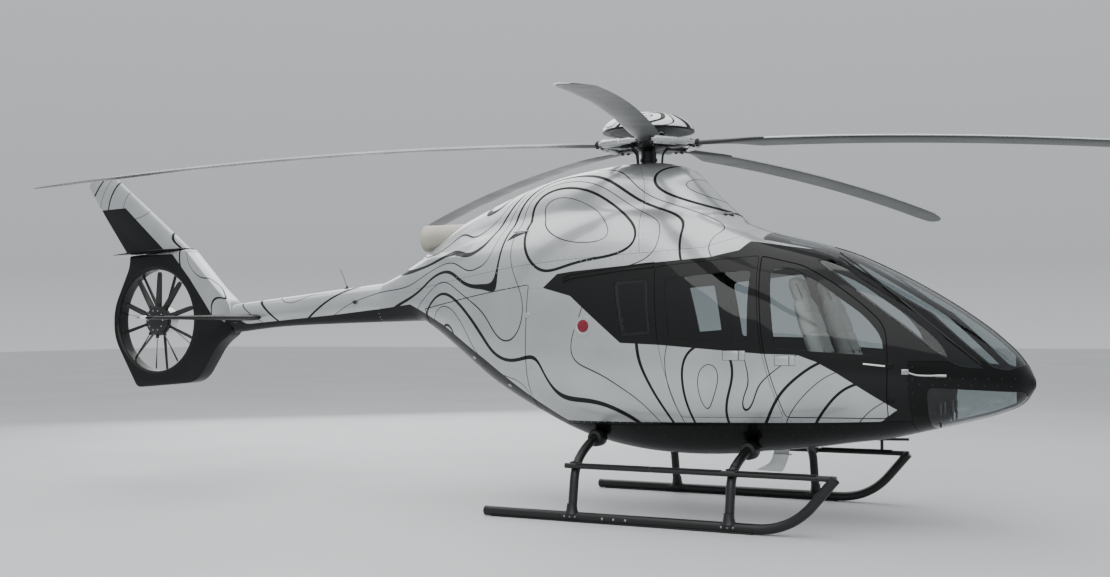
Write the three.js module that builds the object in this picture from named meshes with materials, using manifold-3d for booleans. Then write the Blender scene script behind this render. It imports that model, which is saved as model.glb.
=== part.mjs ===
// Light single-engine helicopter with a shrouded tail rotor, parked on its skids.
// Millimetres, +X to the nose, +Y to port, +Z up, ground at Z = 0.
// Every x below is measured from the main rotor's mast; the whole aircraft is then
// moved forward so that the origin lies under the middle of its outline.

import * as THREE from 'three';
import { mergeVertices } from 'three/addons/utils/BufferGeometryUtils.js';
import Module from 'manifold-3d';

const wasm = await Module();
wasm.setup();

// Driving dimensions
const mastForwardOfMiddle = 1000;
const seam = 0.3; // gap between pieces that touch
const doorGap = 8; // gap round a piece that opens
const skinThickness = 40; // cabin wall and doors
const flangeThickness = 14; // outer lip of a door
const flangeWidth = 22; // how far the lip laps over the opening's step
const jambClearance = 6; // between a door's lip and the step behind it
const slidingDoorGap = 3;
const glassThickness = 8;
const glassDepth = 3;
const clamshellThickness = 16;
const hingePin = 6;
const hingePlay = 1;
const hingeArmHeight = 30;
const cowlingThickness = 18;

const rotorRadius = 5500;
const rotorHeight = 3412;
const bladeHeight = rotorHeight - 25;
const bladeChord = 290;
const bladeRoot = 520;
const firstBladeAngle = 1.6;
const bladeDroops = [433, 433, 433, 445, 363]; // how far each tip hangs down
const bladeCount = bladeDroops.length;

const fanCentre = { x: -6250, z: 1790 };
const ductRadius = 585;
const fanRadius = 560;
const fanBlades = 10;

const skidHalfTrack = 1144;
const skidRadius = 42;
const skidCentre = 46;
const legRadius = 40;
const stepRadius = 24;
const rearLegX = -240;
const frontLegX = 1215;

const floorTop = 845;
const ceiling = 2235;
const deckTop = 2272;
const deckStep = 66;
const deckStepX = 400;
const bellyJoint = 840; // join between the cabin sides and the belly fairing, beside the floor
const keelHalfWidth = 120;
const bellyRear = -860;
const hullJoint = -720; // join between the cabin and the rear hull, at the bulkhead's edge
const noseSplit = 2560; // ahead of this the black nose is a piece of its own
const noseTop = 1400;
const clamshellRear = -2312;
const mastRadius = 72;
const mastHole = 115;
const gearboxTop = 2860;
const exhaustRadius = 135;
const exhaustHole = 145;
const exhaustHeight = 2600;

const sides = [
  { side: 'starboard', sign: -1 },
  { side: 'port', sign: 1 },
];

// Materials
const finish = (color, roughness, metalness) => new THREE.MeshStandardMaterial({ color, roughness, metalness });
const silver = finish('#c3c7ca', 0.25, 0.6);
const gloss = finish('#0b0c0e', 0.12, 0);
const tinted = finish('#39424a', 0.05, 0);
const white = finish('#e8eaeb', 0.25, 0);
const blade = finish('#3a3c3d', 0.55, 0);
const blackSteel = finish('#141516', 0.45, 0.3);
const greySteel = finish('#8a8c8d', 0.4, 0.8);
const heatStained = finish('#a59f93', 0.6, 0.6);
const leather = finish('#b9b6ae', 0.7, 0);
const trim = finish('#6c6e70', 0.8, 0);

// Solids

function solidOf(geometry) {
  const bare = geometry.clone();
  bare.deleteAttribute('normal');
  bare.deleteAttribute('uv');
  const merged = mergeVertices(bare, 1e-3);
  return new wasm.Manifold(new wasm.Mesh({
    numProp: 3,
    vertProperties: new Float32Array(merged.attributes.position.array),
    triVerts: new Uint32Array(merged.index.array),
  }));
}

function geometryOf(solid) {
  const mesh = solid.getMesh();
  const geometry = new THREE.BufferGeometry();
  geometry.setAttribute('position', new THREE.BufferAttribute(mesh.vertProperties, 3));
  geometry.setIndex(new THREE.BufferAttribute(mesh.triVerts, 1));
  geometry.computeVertexNormals();
  return geometry;
}

function placed(geometry, x, y, z) {
  return solidOf(geometry.translate(x, y, z));
}

function box(x0, x1, y0, y1, z0, z1) {
  const block = new THREE.BoxGeometry(x1 - x0, y1 - y0, z1 - z0);
  return placed(block, (x0 + x1) / 2, (y0 + y1) / 2, (z0 + z1) / 2);
}

function upright(radius, x, y, z0, z1, facets = 24) {
  const post = new THREE.CylinderGeometry(radius, radius, z1 - z0, facets).rotateX(Math.PI / 2);
  return placed(post, x, y, (z0 + z1) / 2);
}

function crosswise(radius, x, z, y0, y1, facets = 24) {
  return placed(new THREE.CylinderGeometry(radius, radius, y1 - y0, facets), x, (y0 + y1) / 2, z);
}

function lengthwise(radius, y, z, x0, x1, facets = 24) {
  const bar = new THREE.CylinderGeometry(radius, radius, x1 - x0, facets).rotateZ(Math.PI / 2);
  return placed(bar, (x0 + x1) / 2, y, z);
}

// A shape with its corners rounded: points are [x, z] or [x, z, radius].
function rounded(points, radius = 0) {
  const shape = new THREE.Shape();
  points.forEach((point, i) => {
    const before = new THREE.Vector2(...points.at(i - 1).slice(0, 2));
    const corner = new THREE.Vector2(point[0], point[1]);
    const after = new THREE.Vector2(...points[(i + 1) % points.length].slice(0, 2));
    const nearest = Math.min(before.distanceTo(corner), after.distanceTo(corner));
    const r = Math.min(point[2] ?? radius, 0.45 * nearest);
    const from = corner.clone().add(before.clone().sub(corner).setLength(r));
    const to = corner.clone().add(after.clone().sub(corner).setLength(r));
    if (i === 0) shape.moveTo(from.x, from.y);
    else shape.lineTo(from.x, from.y);
    if (r > 0) shape.quadraticCurveTo(corner.x, corner.y, to.x, to.y);
  });
  shape.closePath();
  return shape;
}

// The same outline moved outwards by a distance, or inwards where it is negative.
function grown(points, distance) {
  const turn = Math.sign(THREE.ShapeUtils.area(points.map(([x, z]) => new THREE.Vector2(x, z))));
  return points.map((point, i) => {
    const corner = new THREE.Vector2(point[0], point[1]);
    const before = corner.clone().sub(new THREE.Vector2(...points.at(i - 1).slice(0, 2))).normalize();
    const after = new THREE.Vector2(...points[(i + 1) % points.length].slice(0, 2)).sub(corner).normalize();
    const bisector = new THREE.Vector2(before.y + after.y, -before.x - after.x);
    const reach = (2 * distance * turn) / bisector.lengthSq();
    const turned = turn * Math.atan2(before.cross(after), before.dot(after));
    const radius = point[2] === undefined ? [] : [Math.max(point[2] + distance * Math.tan(turned / 2), 2)];
    return [corner.x + bisector.x * reach, corner.y + bisector.y * reach, ...radius];
  });
}

// Cuts can leave crumbs, so the piece is the largest solid that is left.
function largest(solid) {
  return solid.decompose().sort((a, b) => b.volume() - a.volume())[0];
}

// A side-view outline pushed across the aircraft from y0 to y1.
function across(points, y0, y1, radius = 0, curveSegments = 2) {
  const options = { depth: y1 - y0, bevelEnabled: false, curveSegments };
  const geometry = new THREE.ExtrudeGeometry(rounded(points, radius), options);
  return solidOf(geometry.rotateX(Math.PI / 2).translate(0, y1, 0));
}

// A tube of the given radius along a chain of corners, each rounded to its own bend.
function tube(corners, radius, steps = 24, facets = 10) {
  const path = new THREE.CurvePath();
  const points = corners.map(([x, y, z]) => new THREE.Vector3(x, y, z));
  let start = points[0];
  for (let i = 1; i < points.length - 1; i += 1) {
    const bend = corners[i][3];
    const into = points[i].clone().add(points[i - 1].clone().sub(points[i]).setLength(bend));
    const out = points[i].clone().add(points[i + 1].clone().sub(points[i]).setLength(bend));
    path.add(new THREE.LineCurve3(start, into));
    path.add(new THREE.QuadraticBezierCurve3(into, points[i], out));
    start = out;
  }
  path.add(new THREE.LineCurve3(start, points.at(-1)));
  const section = new THREE.Shape();
  for (let k = 0; k < facets; k += 1) {
    const angle = (k + 0.5) * 2 * Math.PI / facets;
    const at = [radius * Math.cos(angle), radius * Math.sin(angle)];
    if (k === 0) section.moveTo(...at);
    else section.lineTo(...at);
  }
  section.closePath();
  return solidOf(new THREE.ExtrudeGeometry(section, { steps, bevelEnabled: false, extrudePath: path }));
}

// A skin through rings of equal length, closed at both ends.
function loft(rings) {
  const count = rings[0].length;
  const positions = rings.flat(2);
  const index = [];
  const at = (ring, k) => ring * count + (k % count);
  for (let ring = 0; ring < rings.length - 1; ring += 1) {
    for (let k = 0; k < count; k += 1) {
      index.push(at(ring, k), at(ring, k + 1), at(ring + 1, k));
      index.push(at(ring, k + 1), at(ring + 1, k + 1), at(ring + 1, k));
    }
  }
  const last = rings.length - 1;
  for (const [ring, order] of [[0, -1], [last, 1]]) {
    const middle = positions.length / 3;
    for (let axis = 0; axis < 3; axis += 1) {
      positions.push(rings[ring].reduce((sum, point) => sum + point[axis], 0) / count);
    }
    for (let k = 0; k < count; k += 1) {
      if (order > 0) index.push(middle, at(ring, k), at(ring, k + 1));
      else index.push(middle, at(ring, k + 1), at(ring, k));
    }
  }
  const corner = (i) => new THREE.Vector3().fromArray(positions, 3 * index[i]);
  let volume = 0;
  for (let i = 0; i < index.length; i += 3) volume += corner(i).dot(corner(i + 1).cross(corner(i + 2)));
  if (volume < 0) index.reverse();
  const geometry = new THREE.BufferGeometry();
  geometry.setAttribute('position', new THREE.Float32BufferAttribute(positions, 3));
  geometry.setIndex(index);
  return solidOf(geometry);
}

// Straight-line reading of one column of a table that is sorted by its first column.
function readTable(table, x, column) {
  const found = table.findIndex((row) => row[0] >= x);
  const next = found < 0 ? table.length - 1 : Math.max(found, 1);
  const [low, high] = [table[next - 1], table[next]];
  return low[column] + ((high[column] - low[column]) * (x - low[0])) / (high[0] - low[0]);
}

// Fuselage form
// x, bottom, height of the widest point, top, half width
const hullTable = [
  [-3024, 1750, 1953, 2157, 131],
  [-2850, 1752, 1985, 2226, 165],
  [-2600, 1757, 2030, 2348, 228],
  [-2480, 1755, 2042, 2408, 270],
  [-2300, 1663, 2040, 2480, 345],
  [-1900, 1410, 1950, 2600, 520],
  [-1500, 1140, 1830, 2700, 670],
  [-1000, 885, 1660, 2790, 800],
  [-500, 672, 1550, 2850, 862],
  [0, 562, 1500, 2865, 885],
  [500, 530, 1480, 2800, 890],
  [950, 548, 1460, 2640, 886],
  [1250, 585, 1450, 2525, 872],
  [1600, 622, 1440, 2430, 850],
  [1950, 676, 1420, 2322, 805],
  [2300, 728, 1390, 2160, 725],
  [2650, 812, 1350, 1965, 610],
  [2950, 888, 1310, 1768, 480],
  [3200, 965, 1265, 1570, 340],
  [3370, 1055, 1230, 1385, 190],
  [3445, 1165, 1205, 1240, 40],
];
const lowerFullness = 2.7;
const upperFullness = 2.4;
const hullFacets = 24;

// Half width of the hull at a height, pulled in by a wall thickness.
function hullHalfWidth(x, z, inset) {
  const [bottom, belt, top, half] = [1, 2, 3, 4].map((column) => readTable(hullTable, x, column));
  const reach = z > belt ? (z - belt) / (top - inset - belt) : (belt - z) / (belt - bottom - inset);
  const fullness = z > belt ? upperFullness : lowerFullness;
  return reach >= 1 ? 0 : (half - inset) * (1 - reach ** fullness) ** (1 / fullness);
}

// The closed hull, pulled in all round by a wall thickness.
function hull(inset, from = -Infinity, to = Infinity) {
  const rings = [];
  for (const [x, bottom, belt, top, half] of hullTable) {
    const small = Math.min(belt - bottom, top - belt, half);
    if (x < from || x > to || small <= inset + 5) continue;
    const ring = [];
    for (let k = 0; k < hullFacets; k += 1) {
      const angle = (k / hullFacets) * 2 * Math.PI;
      const [across_, up] = [Math.cos(angle), Math.sin(angle)];
      const power = 2 / (up > 0 ? upperFullness : lowerFullness);
      const height = up > 0 ? top - inset - belt : belt - bottom - inset;
      ring.push([
        x,
        Math.sign(across_) * (half - inset) * Math.abs(across_) ** power,
        belt + Math.sign(up) * height * Math.abs(up) ** power,
      ]);
    }
    rings.push(ring);
  }
  return loft(rings);
}

// Mast fairing on the roof
// x, top, half width, spread at its foot
const fairingTable = [
  [-2500, 2410, 105, 0],
  [-2380, 2478, 160, 60],
  [-2110, 2672, 225, 150],
  [-1640, 2889, 300, 230],
  [-950, 3120, 370, 260],
  [-500, 3195, 385, 260],
  [0, 3228, 385, 260],
  [300, 3185, 375, 260],
  [480, 3110, 350, 260],
  [700, 2880, 290, 260],
  [950, 2655, 200, 260],
  [1080, 2560, 100, 260],
];
const fairingFoot = 2380;
const blendWidth = 110;

function outerHalfWidth(x, z, inset) {
  const top = readTable(fairingTable, x, 1) - inset;
  const half = readTable(fairingTable, x, 2) - inset;
  const spread = readTable(fairingTable, x, 3);
  const rise = Math.min(Math.max((z - fairingFoot) / (top - fairingFoot), 0), 1);
  const fairing = z < top ? half * (1 - rise ** 4) ** 0.5 + spread * (1 - rise) ** 3 : 0;
  const body = hullHalfWidth(x, z, inset);
  const overlap = Math.max(blendWidth - Math.abs(fairing - body), 0) / blendWidth;
  return Math.max(fairing, body) + (overlap ** 2 * blendWidth * rise) / 4;
}

// The cowlings' form above the cabin sides, pulled in by a wall thickness.
function cowlingForm(inset) {
  const levels = 10;
  const lowest = 1900;
  const rings = [];
  const stations = [-2700, -2500, -2380, -2110, -1640, -1300, -950, -500, 0, 300, 480, 700, 820, 950, 1080, 1180];
  for (const x of stations) {
    const fairingTop = x < -2500 || x > 1080 ? 0 : readTable(fairingTable, x, 1);
    const top = Math.max(fairingTop, readTable(hullTable, x, 3)) - inset;
    const side = [];
    for (let k = 0; k < levels; k += 1) {
      const z = top - (top - lowest) * (1 - Math.sin((k / levels) * Math.PI / 2));
      side.push([z, Math.max(outerHalfWidth(x, z, inset), 6)]);
    }
    rings.push([
      ...side.map(([z, y]) => [x, y, z]),
      [x, 0, top],
      ...side.reverse().map(([z, y]) => [x, -y, z]),
    ]);
  }
  return loft(rings);
}

// Side-view outlines: x, z and, where it differs, the corner's radius
const cowlingSeam = [[-2475, 2080], [-2174, 2106], [-963, 2262], [-506, 2300], [274, 2339], [830, 2374],
  [1080, 2462], [1165, 2560]];
const aboveCowlingSeam = [...cowlingSeam, [1165, 3400], [-2475, 3400]];
const clamshell = [[-900, 905], [-860, 2085], [-1208, 2040], [-2330, 1880], [-2330, 1500], [-1500, 905]];
const slidingDoor = [[650, 905, 40], [472, 1505, 200], [412, 2215, 60], [1310, 2292, 30], [1405, 1455, 200],
  [1562, 925, 30]];
const slidingGlass = [[581, 1588, 30], [515, 2105, 60], [1268, 2170, 40], [1284, 1570, 30]];
const frontDoor = [[1578, 925, 30], [1421, 1455, 200], [1328, 2290, 30], [1700, 2200, 90], [1982, 2040, 200],
  [2225, 1855, 200], [2400, 1690, 110], [2425, 1425, 200], [2395, 925, 40]];
const frontGlass = [[1520, 1500, 30], [1432, 2175, 60], [1580, 2185, 90], [1800, 2085, 200], [2240, 1765, 100],
  [2370, 1600, 90], [2392, 1440, 30]];
const rearWindow = [[122, 1606, 30], [32, 2083, 30], [348, 2106, 30], [400, 1626, 30]];
const quarterGlass = [[1790, 2240], [2540, 1670], [2900, 1420], [3150, 1420], [2660, 1760], [1900, 2248]];
const windscreen = [[1265, 2640], [1265, 2440, 20], [1650, 2360, 60], [1910, 2268], [2705, 1780], [3215, 1420, 60],
  [3330, 1400, 20], [3560, 1500], [2400, 2300]];
const chinWindow = [[2800, 1190, 60], [2860, 900, 60], [2960, 850, 40], [3500, 960], [3330, 1160, 60]];

const outlineOn = (sign, points, distance, radius) =>
  across(grown(points, distance), sign < 0 ? -1400 : 30, sign < 0 ? -30 : 1400, radius);

// Cabin sides, belly and nose
const outer = hull(0);
const hollow = hull(skinThickness, -2330, 3200);
const skin = outer.subtract(hollow);
const legTunnels = [[rearLegX, 700], [frontLegX, 640]];

function crosstube(x, height, radius, hang = 0) {
  const y = skidHalfTrack;
  const low = skidCentre + hang;
  return tube([[x, -y, low], [x, -y + 70, 470, 120], [x, -y + 330, height, 300], [x, y - 330, height, 300],
    [x, y - 70, 470, 120], [x, y, low]], radius, 24, 8);
}

const bottomTubes = legTunnels.map(([x, height]) => crosstube(x, height, legRadius + seam));

// The step that a door's lip lies in, and the smaller hole behind it
const behindLips = hull(flangeThickness + jambClearance);

function doorway(points, sign) {
  const step = outlineOn(sign, points, 0).subtract(behindLips);
  return step.add(outlineOn(sign, points, -flangeWidth));
}

// A door: an outer lip over the doorway's step, and a plug that fits the hole behind it
function doorPanel(points, sign, glassPoints, gap) {
  const lip = outer.subtract(hull(flangeThickness)).intersect(outlineOn(sign, points, -gap));
  const plug = hull(flangeThickness - 1).subtract(hull(skinThickness))
    .intersect(outlineOn(sign, points, -flangeWidth - gap));
  return lip.add(plug).subtract(outlineOn(sign, glassPoints, 0));
}

function pane(points, sign) {
  return hull(glassDepth).subtract(hull(glassDepth + glassThickness)).intersect(outlineOn(sign, points, -seam));
}

// Hinges: a pin and two lugs on the fixed side, and the door's arm between them
function hinge({ x, y, height, arm, lug, skinAt }, sign) {
  const [inner, end] = [skinAt - 24, y + hingePin + 6];
  const near = Math.min(sign * inner, sign * end);
  const far = Math.max(sign * inner, sign * end);
  const half = hingeArmHeight / 2;
  const bore = upright(hingePin + hingePlay, x, sign * y, height - 60, height + 60, 10);
  const doorArm = box(x - arm, x + hingePin + 5, near, far, height - half, height + half).subtract(bore);
  const top = height + half + hingePlay + 14;
  const bottom = height - half - hingePlay - 14;
  const lugs = box(x - hingePin - 5, x + lug, near, far, bottom, top)
    .subtract(box(x - hingePin - 20, x + hingePin + 16, near - 5, far + 5, height - half - hingePlay,
      height + half + hingePlay));
  const clear = 7;
  const pocket = box(x - arm, x + hingePin + 5 + clear, Math.min(near, near - sign * clear),
    Math.max(far, far - sign * clear), height - half - clear, height + half + clear);
  return { door: doorArm, fixed: lugs.add(upright(hingePin, x, sign * y, bottom, top, 10)), pocket };
}

const frontHinges = [1080, 1360].map((height) => ({
  x: 2432, y: 706, height, arm: 70, lug: 60, skinAt: hullHalfWidth(2432, height, 0),
}));
const clamshellHinges = [1330, 1800].map((height) => ({
  x: -858, y: 828, height, arm: 75, lug: 60, skinAt: hullHalfWidth(-858, height, 0),
}));

// The roof under the cowlings: low at the rear, one step higher over the doors
function deck() {
  const thickness = deckTop - ceiling;
  const rear = box(-2100, deckStepX, -1500, 1500, ceiling, deckTop);
  const riser = box(deckStepX - 30, deckStepX, -1500, 1500, ceiling, deckTop + deckStep);
  const front = box(deckStepX - 30, 1130, -1500, 1500, deckTop + deckStep - thickness, deckTop + deckStep);
  return hull(skinThickness + seam).intersect(rear.add(riser).add(front));
}

// The cabin's two sides, which meet at the windscreen's centre post, and the rear hull behind the bulkhead
function cabin() {
  const underCowling = across(aboveCowlingSeam, -1500, 1500);
  let body = skin.subtract(underCowling);
  body = body.subtract(box(bellyRear - seam, noseSplit + 1200, -1500, 1500, 0, bellyJoint + seam));
  body = body.subtract(box(noseSplit, 3600, -1500, 1500, 0, noseTop));
  for (const { sign } of sides) {
    body = body.subtract(doorway(slidingDoor, sign)).subtract(doorway(frontDoor, sign));
    for (const points of [rearWindow, quarterGlass, windscreen]) body = body.subtract(outlineOn(sign, points, 0));
    const clam = across(clamshell, sign < 0 ? -1400 : keelHalfWidth, sign < 0 ? -keelHalfWidth : 1400);
    body = body.subtract(clam);
    for (const place of [...frontHinges, ...clamshellHinges]) {
      body = body.subtract(hinge(place, sign).pocket).add(hinge(place, sign).fixed);
    }
  }
  return {
    starboard: largest(body.intersect(box(hullJoint, 3600, -1500, -seam / 2, 0, 4000))),
    port: largest(body.intersect(box(hullJoint, 3600, seam / 2, 1500, 0, 4000))),
    rear: largest(body.intersect(box(-3100, hullJoint - seam, -1500, 1500, 0, 4000))),
  };
}

function belly() {
  const pan = skin.intersect(box(bellyRear, noseSplit, -1500, 1500, 0, bellyJoint));
  return bottomTubes.reduce((rest, cut) => rest.subtract(cut), pan);
}

function nose() {
  let shell = skin.intersect(box(noseSplit + seam, 3600, -1500, 1500, 0, noseTop - seam));
  for (const { sign } of sides) shell = shell.subtract(outlineOn(sign, chinWindow, 0));
  return shell;
}

function clamshellDoor(sign) {
  const inner = keelHalfWidth + doorGap;
  const cut = across(grown(clamshell, -doorGap), sign < 0 ? -1400 : inner, sign < 0 ? -inner : 1400);
  let door = outer.subtract(hull(clamshellThickness)).intersect(cut).intersect(box(clamshellRear, 0, -1500, 1500, 0, 4000));
  for (const place of clamshellHinges) door = door.add(hinge(place, sign).door);
  return door;
}

function frontDoorPanel(sign) {
  let door = doorPanel(frontDoor, sign, frontGlass, doorGap);
  for (const place of frontHinges) door = door.add(hinge(place, sign).door);
  return door;
}

// A sliding door hangs on guides that reach its doorway's step.
function slidingDoorPanel(sign) {
  const guides = hull(flangeThickness - 2).subtract(hull(flangeThickness + jambClearance - seam));
  let door = doorPanel(slidingDoor, sign, slidingGlass, slidingDoorGap);
  for (const [x, z] of [[560, 2218], [1200, 2272], [760, 915], [1400, 915]]) {
    const pad = box(x - 40, x + 40, sign < 0 ? -1400 : 30, sign < 0 ? -30 : 1400, z - 16, z + 16);
    door = door.add(guides.intersect(pad).intersect(outlineOn(sign, slidingDoor, -slidingDoorGap)));
  }
  return door;
}

// Cowlings over the engine and the gearbox, parted by a slanting joint by the mast
const cowlingJoint = [[-120, 3400], [110, 3000], [150, 2700], [275, 2250]];
const aheadOfJoint = [...cowlingJoint, [1400, 2250], [1400, 3400]];

function cowlings() {
  const overlap = grown(aboveCowlingSeam, -seam);
  const cover = cowlingForm(0).subtract(cowlingForm(cowlingThickness)).intersect(across(overlap, -1500, 1500))
    .subtract(upright(mastHole, 0, 0, 2900, 3400))
    .subtract(lengthwise(exhaustHole, 0, exhaustHeight, -2800, -1700, 32));
  return {
    forward: cover.intersect(across(aheadOfJoint, -1500, 1500)),
    aft: cover.subtract(across(grown(aheadOfJoint, seam), -1500, 1500)),
  };
}

// Tail
// x, centre height, half height, half width
const boomTable = [
  [-5150, 1797, 160, 100],
  [-4448, 1863, 158, 112],
  [-3582, 1921, 184, 122],
  [-3024 - seam, 1953, 203, 131],
];

function boomForm(outset) {
  const rings = boomTable.map(([x, centre, halfHeight, halfWidth]) => {
    const ring = [];
    for (let k = 0; k < 24; k += 1) {
      const angle = (k / 24) * 2 * Math.PI;
      ring.push([x, (halfWidth + outset) * Math.cos(angle), centre + (halfHeight + outset) * Math.sin(angle)]);
    }
    return ring;
  });
  rings[0].forEach((point) => { point[0] -= outset; });
  return loft(rings);
}

function tailBoom() {
  return boomForm(0).subtract(wing(stabilizerTable, seam));
}

// The plate on the shroud is tilted, nose up
const finPlateTilt = 0.06;
const finPlateHalf = 14;
const finPlateZ = (x) => 2578 + (x + 6320) * finPlateTilt;
// height, leading edge x, trailing edge x, half thickness
const finTable = [
  [2500, -5636, -6719, 62],
  [3000, -6303, -7112, 46],
  [3400, -6848, -7411, 30],
  [3462, -6935, -7380, 16],
];
// distance along the chord and share of the half thickness
const foil = [[0, 0.12], [0.03, 0.5], [0.12, 0.86], [0.3, 1], [0.6, 0.74], [1, 0.1]];

function fin() {
  const offset = finPlateHalf + seam;
  const below = across([[-7300, finPlateZ(-7300) + offset], [-5300, finPlateZ(-5300) + offset], [-5300, 2300],
    [-7300, 2300]], -400, 400);
  return loft(finTable.map(([z, front, rear, half]) => {
    const side = foil.map(([along, share]) => [front + (rear - front) * along, half * share, z]);
    return [...side, ...side.map(([x, y, height]) => [x, -y, height]).reverse()];
  })).subtract(below);
}

// The shroud's side view, from the fin's foot round behind the fan
const ductOutline = [[-5085, 1965, 100], [-5290, 2130, 120], [-5820, 2650], [-6640, 2650], [-6650, 2420, 80],
  [-6905, 1930, 200], [-6900, 1590, 150], [-6530, 1012, 60], [-5600, 1085, 160], [-5290, 1510, 150], [-5085, 1640, 60]];
const ductHalfWidth = 98;
const ductLip = 24;
const ductFacets = 32;

function duct() {
  const edge = { depth: 2 * (ductHalfWidth - ductLip), bevelThickness: ductLip, bevelSize: ductLip,
    bevelOffset: -ductLip, bevelSegments: 1, curveSegments: 5 };
  const plate = new THREE.ExtrudeGeometry(rounded(ductOutline), edge)
    .rotateX(Math.PI / 2).translate(0, ductHalfWidth - ductLip, 0);
  const wall = [];
  const throat = ductHalfWidth - 2 * ductLip;
  for (let k = 0; k <= 3; k += 1) {
    const angle = (k / 3) * (Math.PI / 2);
    wall.push([ductRadius + 2 * ductLip * (1 - Math.cos(angle)), throat + 2 * ductLip * Math.sin(angle)]);
  }
  const profile = [[0, -ductHalfWidth - 5], ...wall.map(([r, y]) => [r, -y]).reverse(), ...wall,
    [0, ductHalfWidth + 5]];
  const hole = new THREE.LatheGeometry(profile.map(([r, y]) => new THREE.Vector2(r, y)), ductFacets);
  const offset = -finPlateHalf - seam;
  const above = across([[-7300, finPlateZ(-7300) + offset], [-5300, finPlateZ(-5300) + offset], [-5300, 3000],
    [-7300, 3000]], -400, 400);
  return solidOf(plate).subtract(placed(hole, fanCentre.x, 0, fanCentre.z)).subtract(above);
}

// A flat lifting surface from side to side: y, leading edge x, trailing edge x, height, half thickness
function wing(table, outset = 0, middle = (x, z) => z) {
  return loft(table.map(([y, front, rear, z, half]) => {
    const side = foil.map(([along, share]) => [front + (rear - front) * along, half * share + outset]);
    const ring = [...side, ...side.map(([x, rise]) => [x, -rise]).reverse()];
    return ring.map(([x, rise]) => [x, y, middle(x, z) + rise]);
  }));
}

const stabilizerTable = [
  [-1320, -5030, -5300, 1812, 10],
  [-1290, -4980, -5320, 1812, 17],
  [-100, -4640, -5250, 1812, 36],
  [100, -4640, -5250, 1812, 36],
  [1290, -4980, -5320, 1812, 17],
  [1320, -5030, -5300, 1812, 10],
];
const finPlateTable = [
  [-260, -6200, -6720, 0, 8],
  [-230, -6080, -6780, 0, 12],
  [-70, -5780, -6865, 0, finPlateHalf],
  [70, -5780, -6865, 0, finPlateHalf],
  [230, -6080, -6780, 0, 12],
  [260, -6200, -6720, 0, 8],
];

// Fan and its fixed vanes; each blade is a thin twisted slab
function spoke(inner, outerReach, chord, thickness, pitch, y) {
  const slab = new THREE.BoxGeometry(chord, thickness, outerReach - inner);
  return slab.rotateZ(pitch).translate(0, y, (inner + outerReach) / 2);
}

function wheel(count, firstAngle, geometry) {
  const parts = [];
  for (let k = 0; k < count; k += 1) {
    const turned = geometry.clone().rotateY(firstAngle + (k * 2 * Math.PI) / count);
    parts.push(placed(turned, fanCentre.x, 0, fanCentre.z));
  }
  return parts;
}

const fanHub = { radius: 178, from: -66, to: -8 };
const statorHub = { radius: 160, from: 8, to: 180 };

function fan() {
  const hub = crosswise(fanHub.radius, fanCentre.x, fanCentre.z, fanHub.from, fanHub.to, 32);
  const shaft = crosswise(40, fanCentre.x, fanCentre.z, fanHub.to - 2, statorHub.from - seam, 16);
  const blades = wheel(fanBlades, 0.05, spoke(fanHub.radius - 20, fanRadius, 62, 9, 0.6, -36));
  return blades.reduce((whole, one) => whole.add(one), hub.add(shaft));
}

function stator() {
  const hub = crosswise(statorHub.radius, fanCentre.x, fanCentre.z, statorHub.from, statorHub.to, 32);
  const vanes = wheel(7, 0.35, spoke(statorHub.radius - 20, ductRadius + 12, 46, 12, 0, 58));
  const throat = crosswise(ductRadius - seam, fanCentre.x, fanCentre.z, -200, 200, ductFacets);
  return vanes.reduce((whole, one) => whole.add(one), hub).intersect(throat);
}

// Landing gear
function skid(sign, outset = 0) {
  const y = sign * skidHalfTrack;
  const runner = tube([[-1118, y, skidCentre], [1740, y, skidCentre, 290], [2112, y, 478]], skidRadius + outset, 14, 8);
  const step = tube([[2128, y, 480], [900, y, 482, 10], [-300, y, 484]], stepRadius + outset, 4, 8);
  const shoe = box(-1050, 1430, y - 34, y + 34, 0, 16);
  return runner.add(step).add(shoe);
}

function leg([x, height]) {
  let form = crosstube(x, height, legRadius);
  for (const { sign } of sides) {
    const foot = new THREE.CylinderGeometry(legRadius + 2, 62, 80, 20).rotateX(Math.PI / 2);
    form = form.add(placed(foot, x, sign * skidHalfTrack, skidCentre + 40));
  }
  return largest(sides.reduce((rest, { sign }) => rest.subtract(skid(sign, seam)), form));
}

// Main rotor: one blade lies along its own +X, with its leading edge to -Y
function bladeForm(droop) {
  const stations = [
    // distance from the mast, leading edge, trailing edge, half thickness, pitch in degrees
    [bladeRoot, 52, -52, 22, 0],
    [bladeRoot + 180, 58, -66, 22, 3],
    [bladeRoot + 520, 92, -bladeChord + 92, 19, 8],
    [2200, 92, -bladeChord + 92, 18, 7.5],
    [3800, 92, -bladeChord + 92, 17, 6.5],
    [4900, 92, -bladeChord + 92, 15, 6],
    [5120, 84, -bladeChord + 92, 12, 6],
    [5320, 48, -bladeChord + 94, 9, 5],
    [5440, 0, -bladeChord + 104, 6, 5],
    [rotorRadius, -64, -bladeChord + 136, 3, 5],
  ];
  return loft(stations.map(([r, front, rear, half, pitch]) => {
    const drop = -droop * (r / rotorRadius) ** 2;
    const [cos, sin] = [Math.cos(THREE.MathUtils.degToRad(pitch)), Math.sin(THREE.MathUtils.degToRad(pitch))];
    const side = foil.map(([along, share]) => [-front - (rear - front) * along, half * share]);
    const ring = [...side, ...side.map(([y, z]) => [y, -z]).reverse()];
    return ring.map(([y, z]) => [r, y * cos + z * sin, drop - y * sin + z * cos]);
  }));
}

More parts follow.
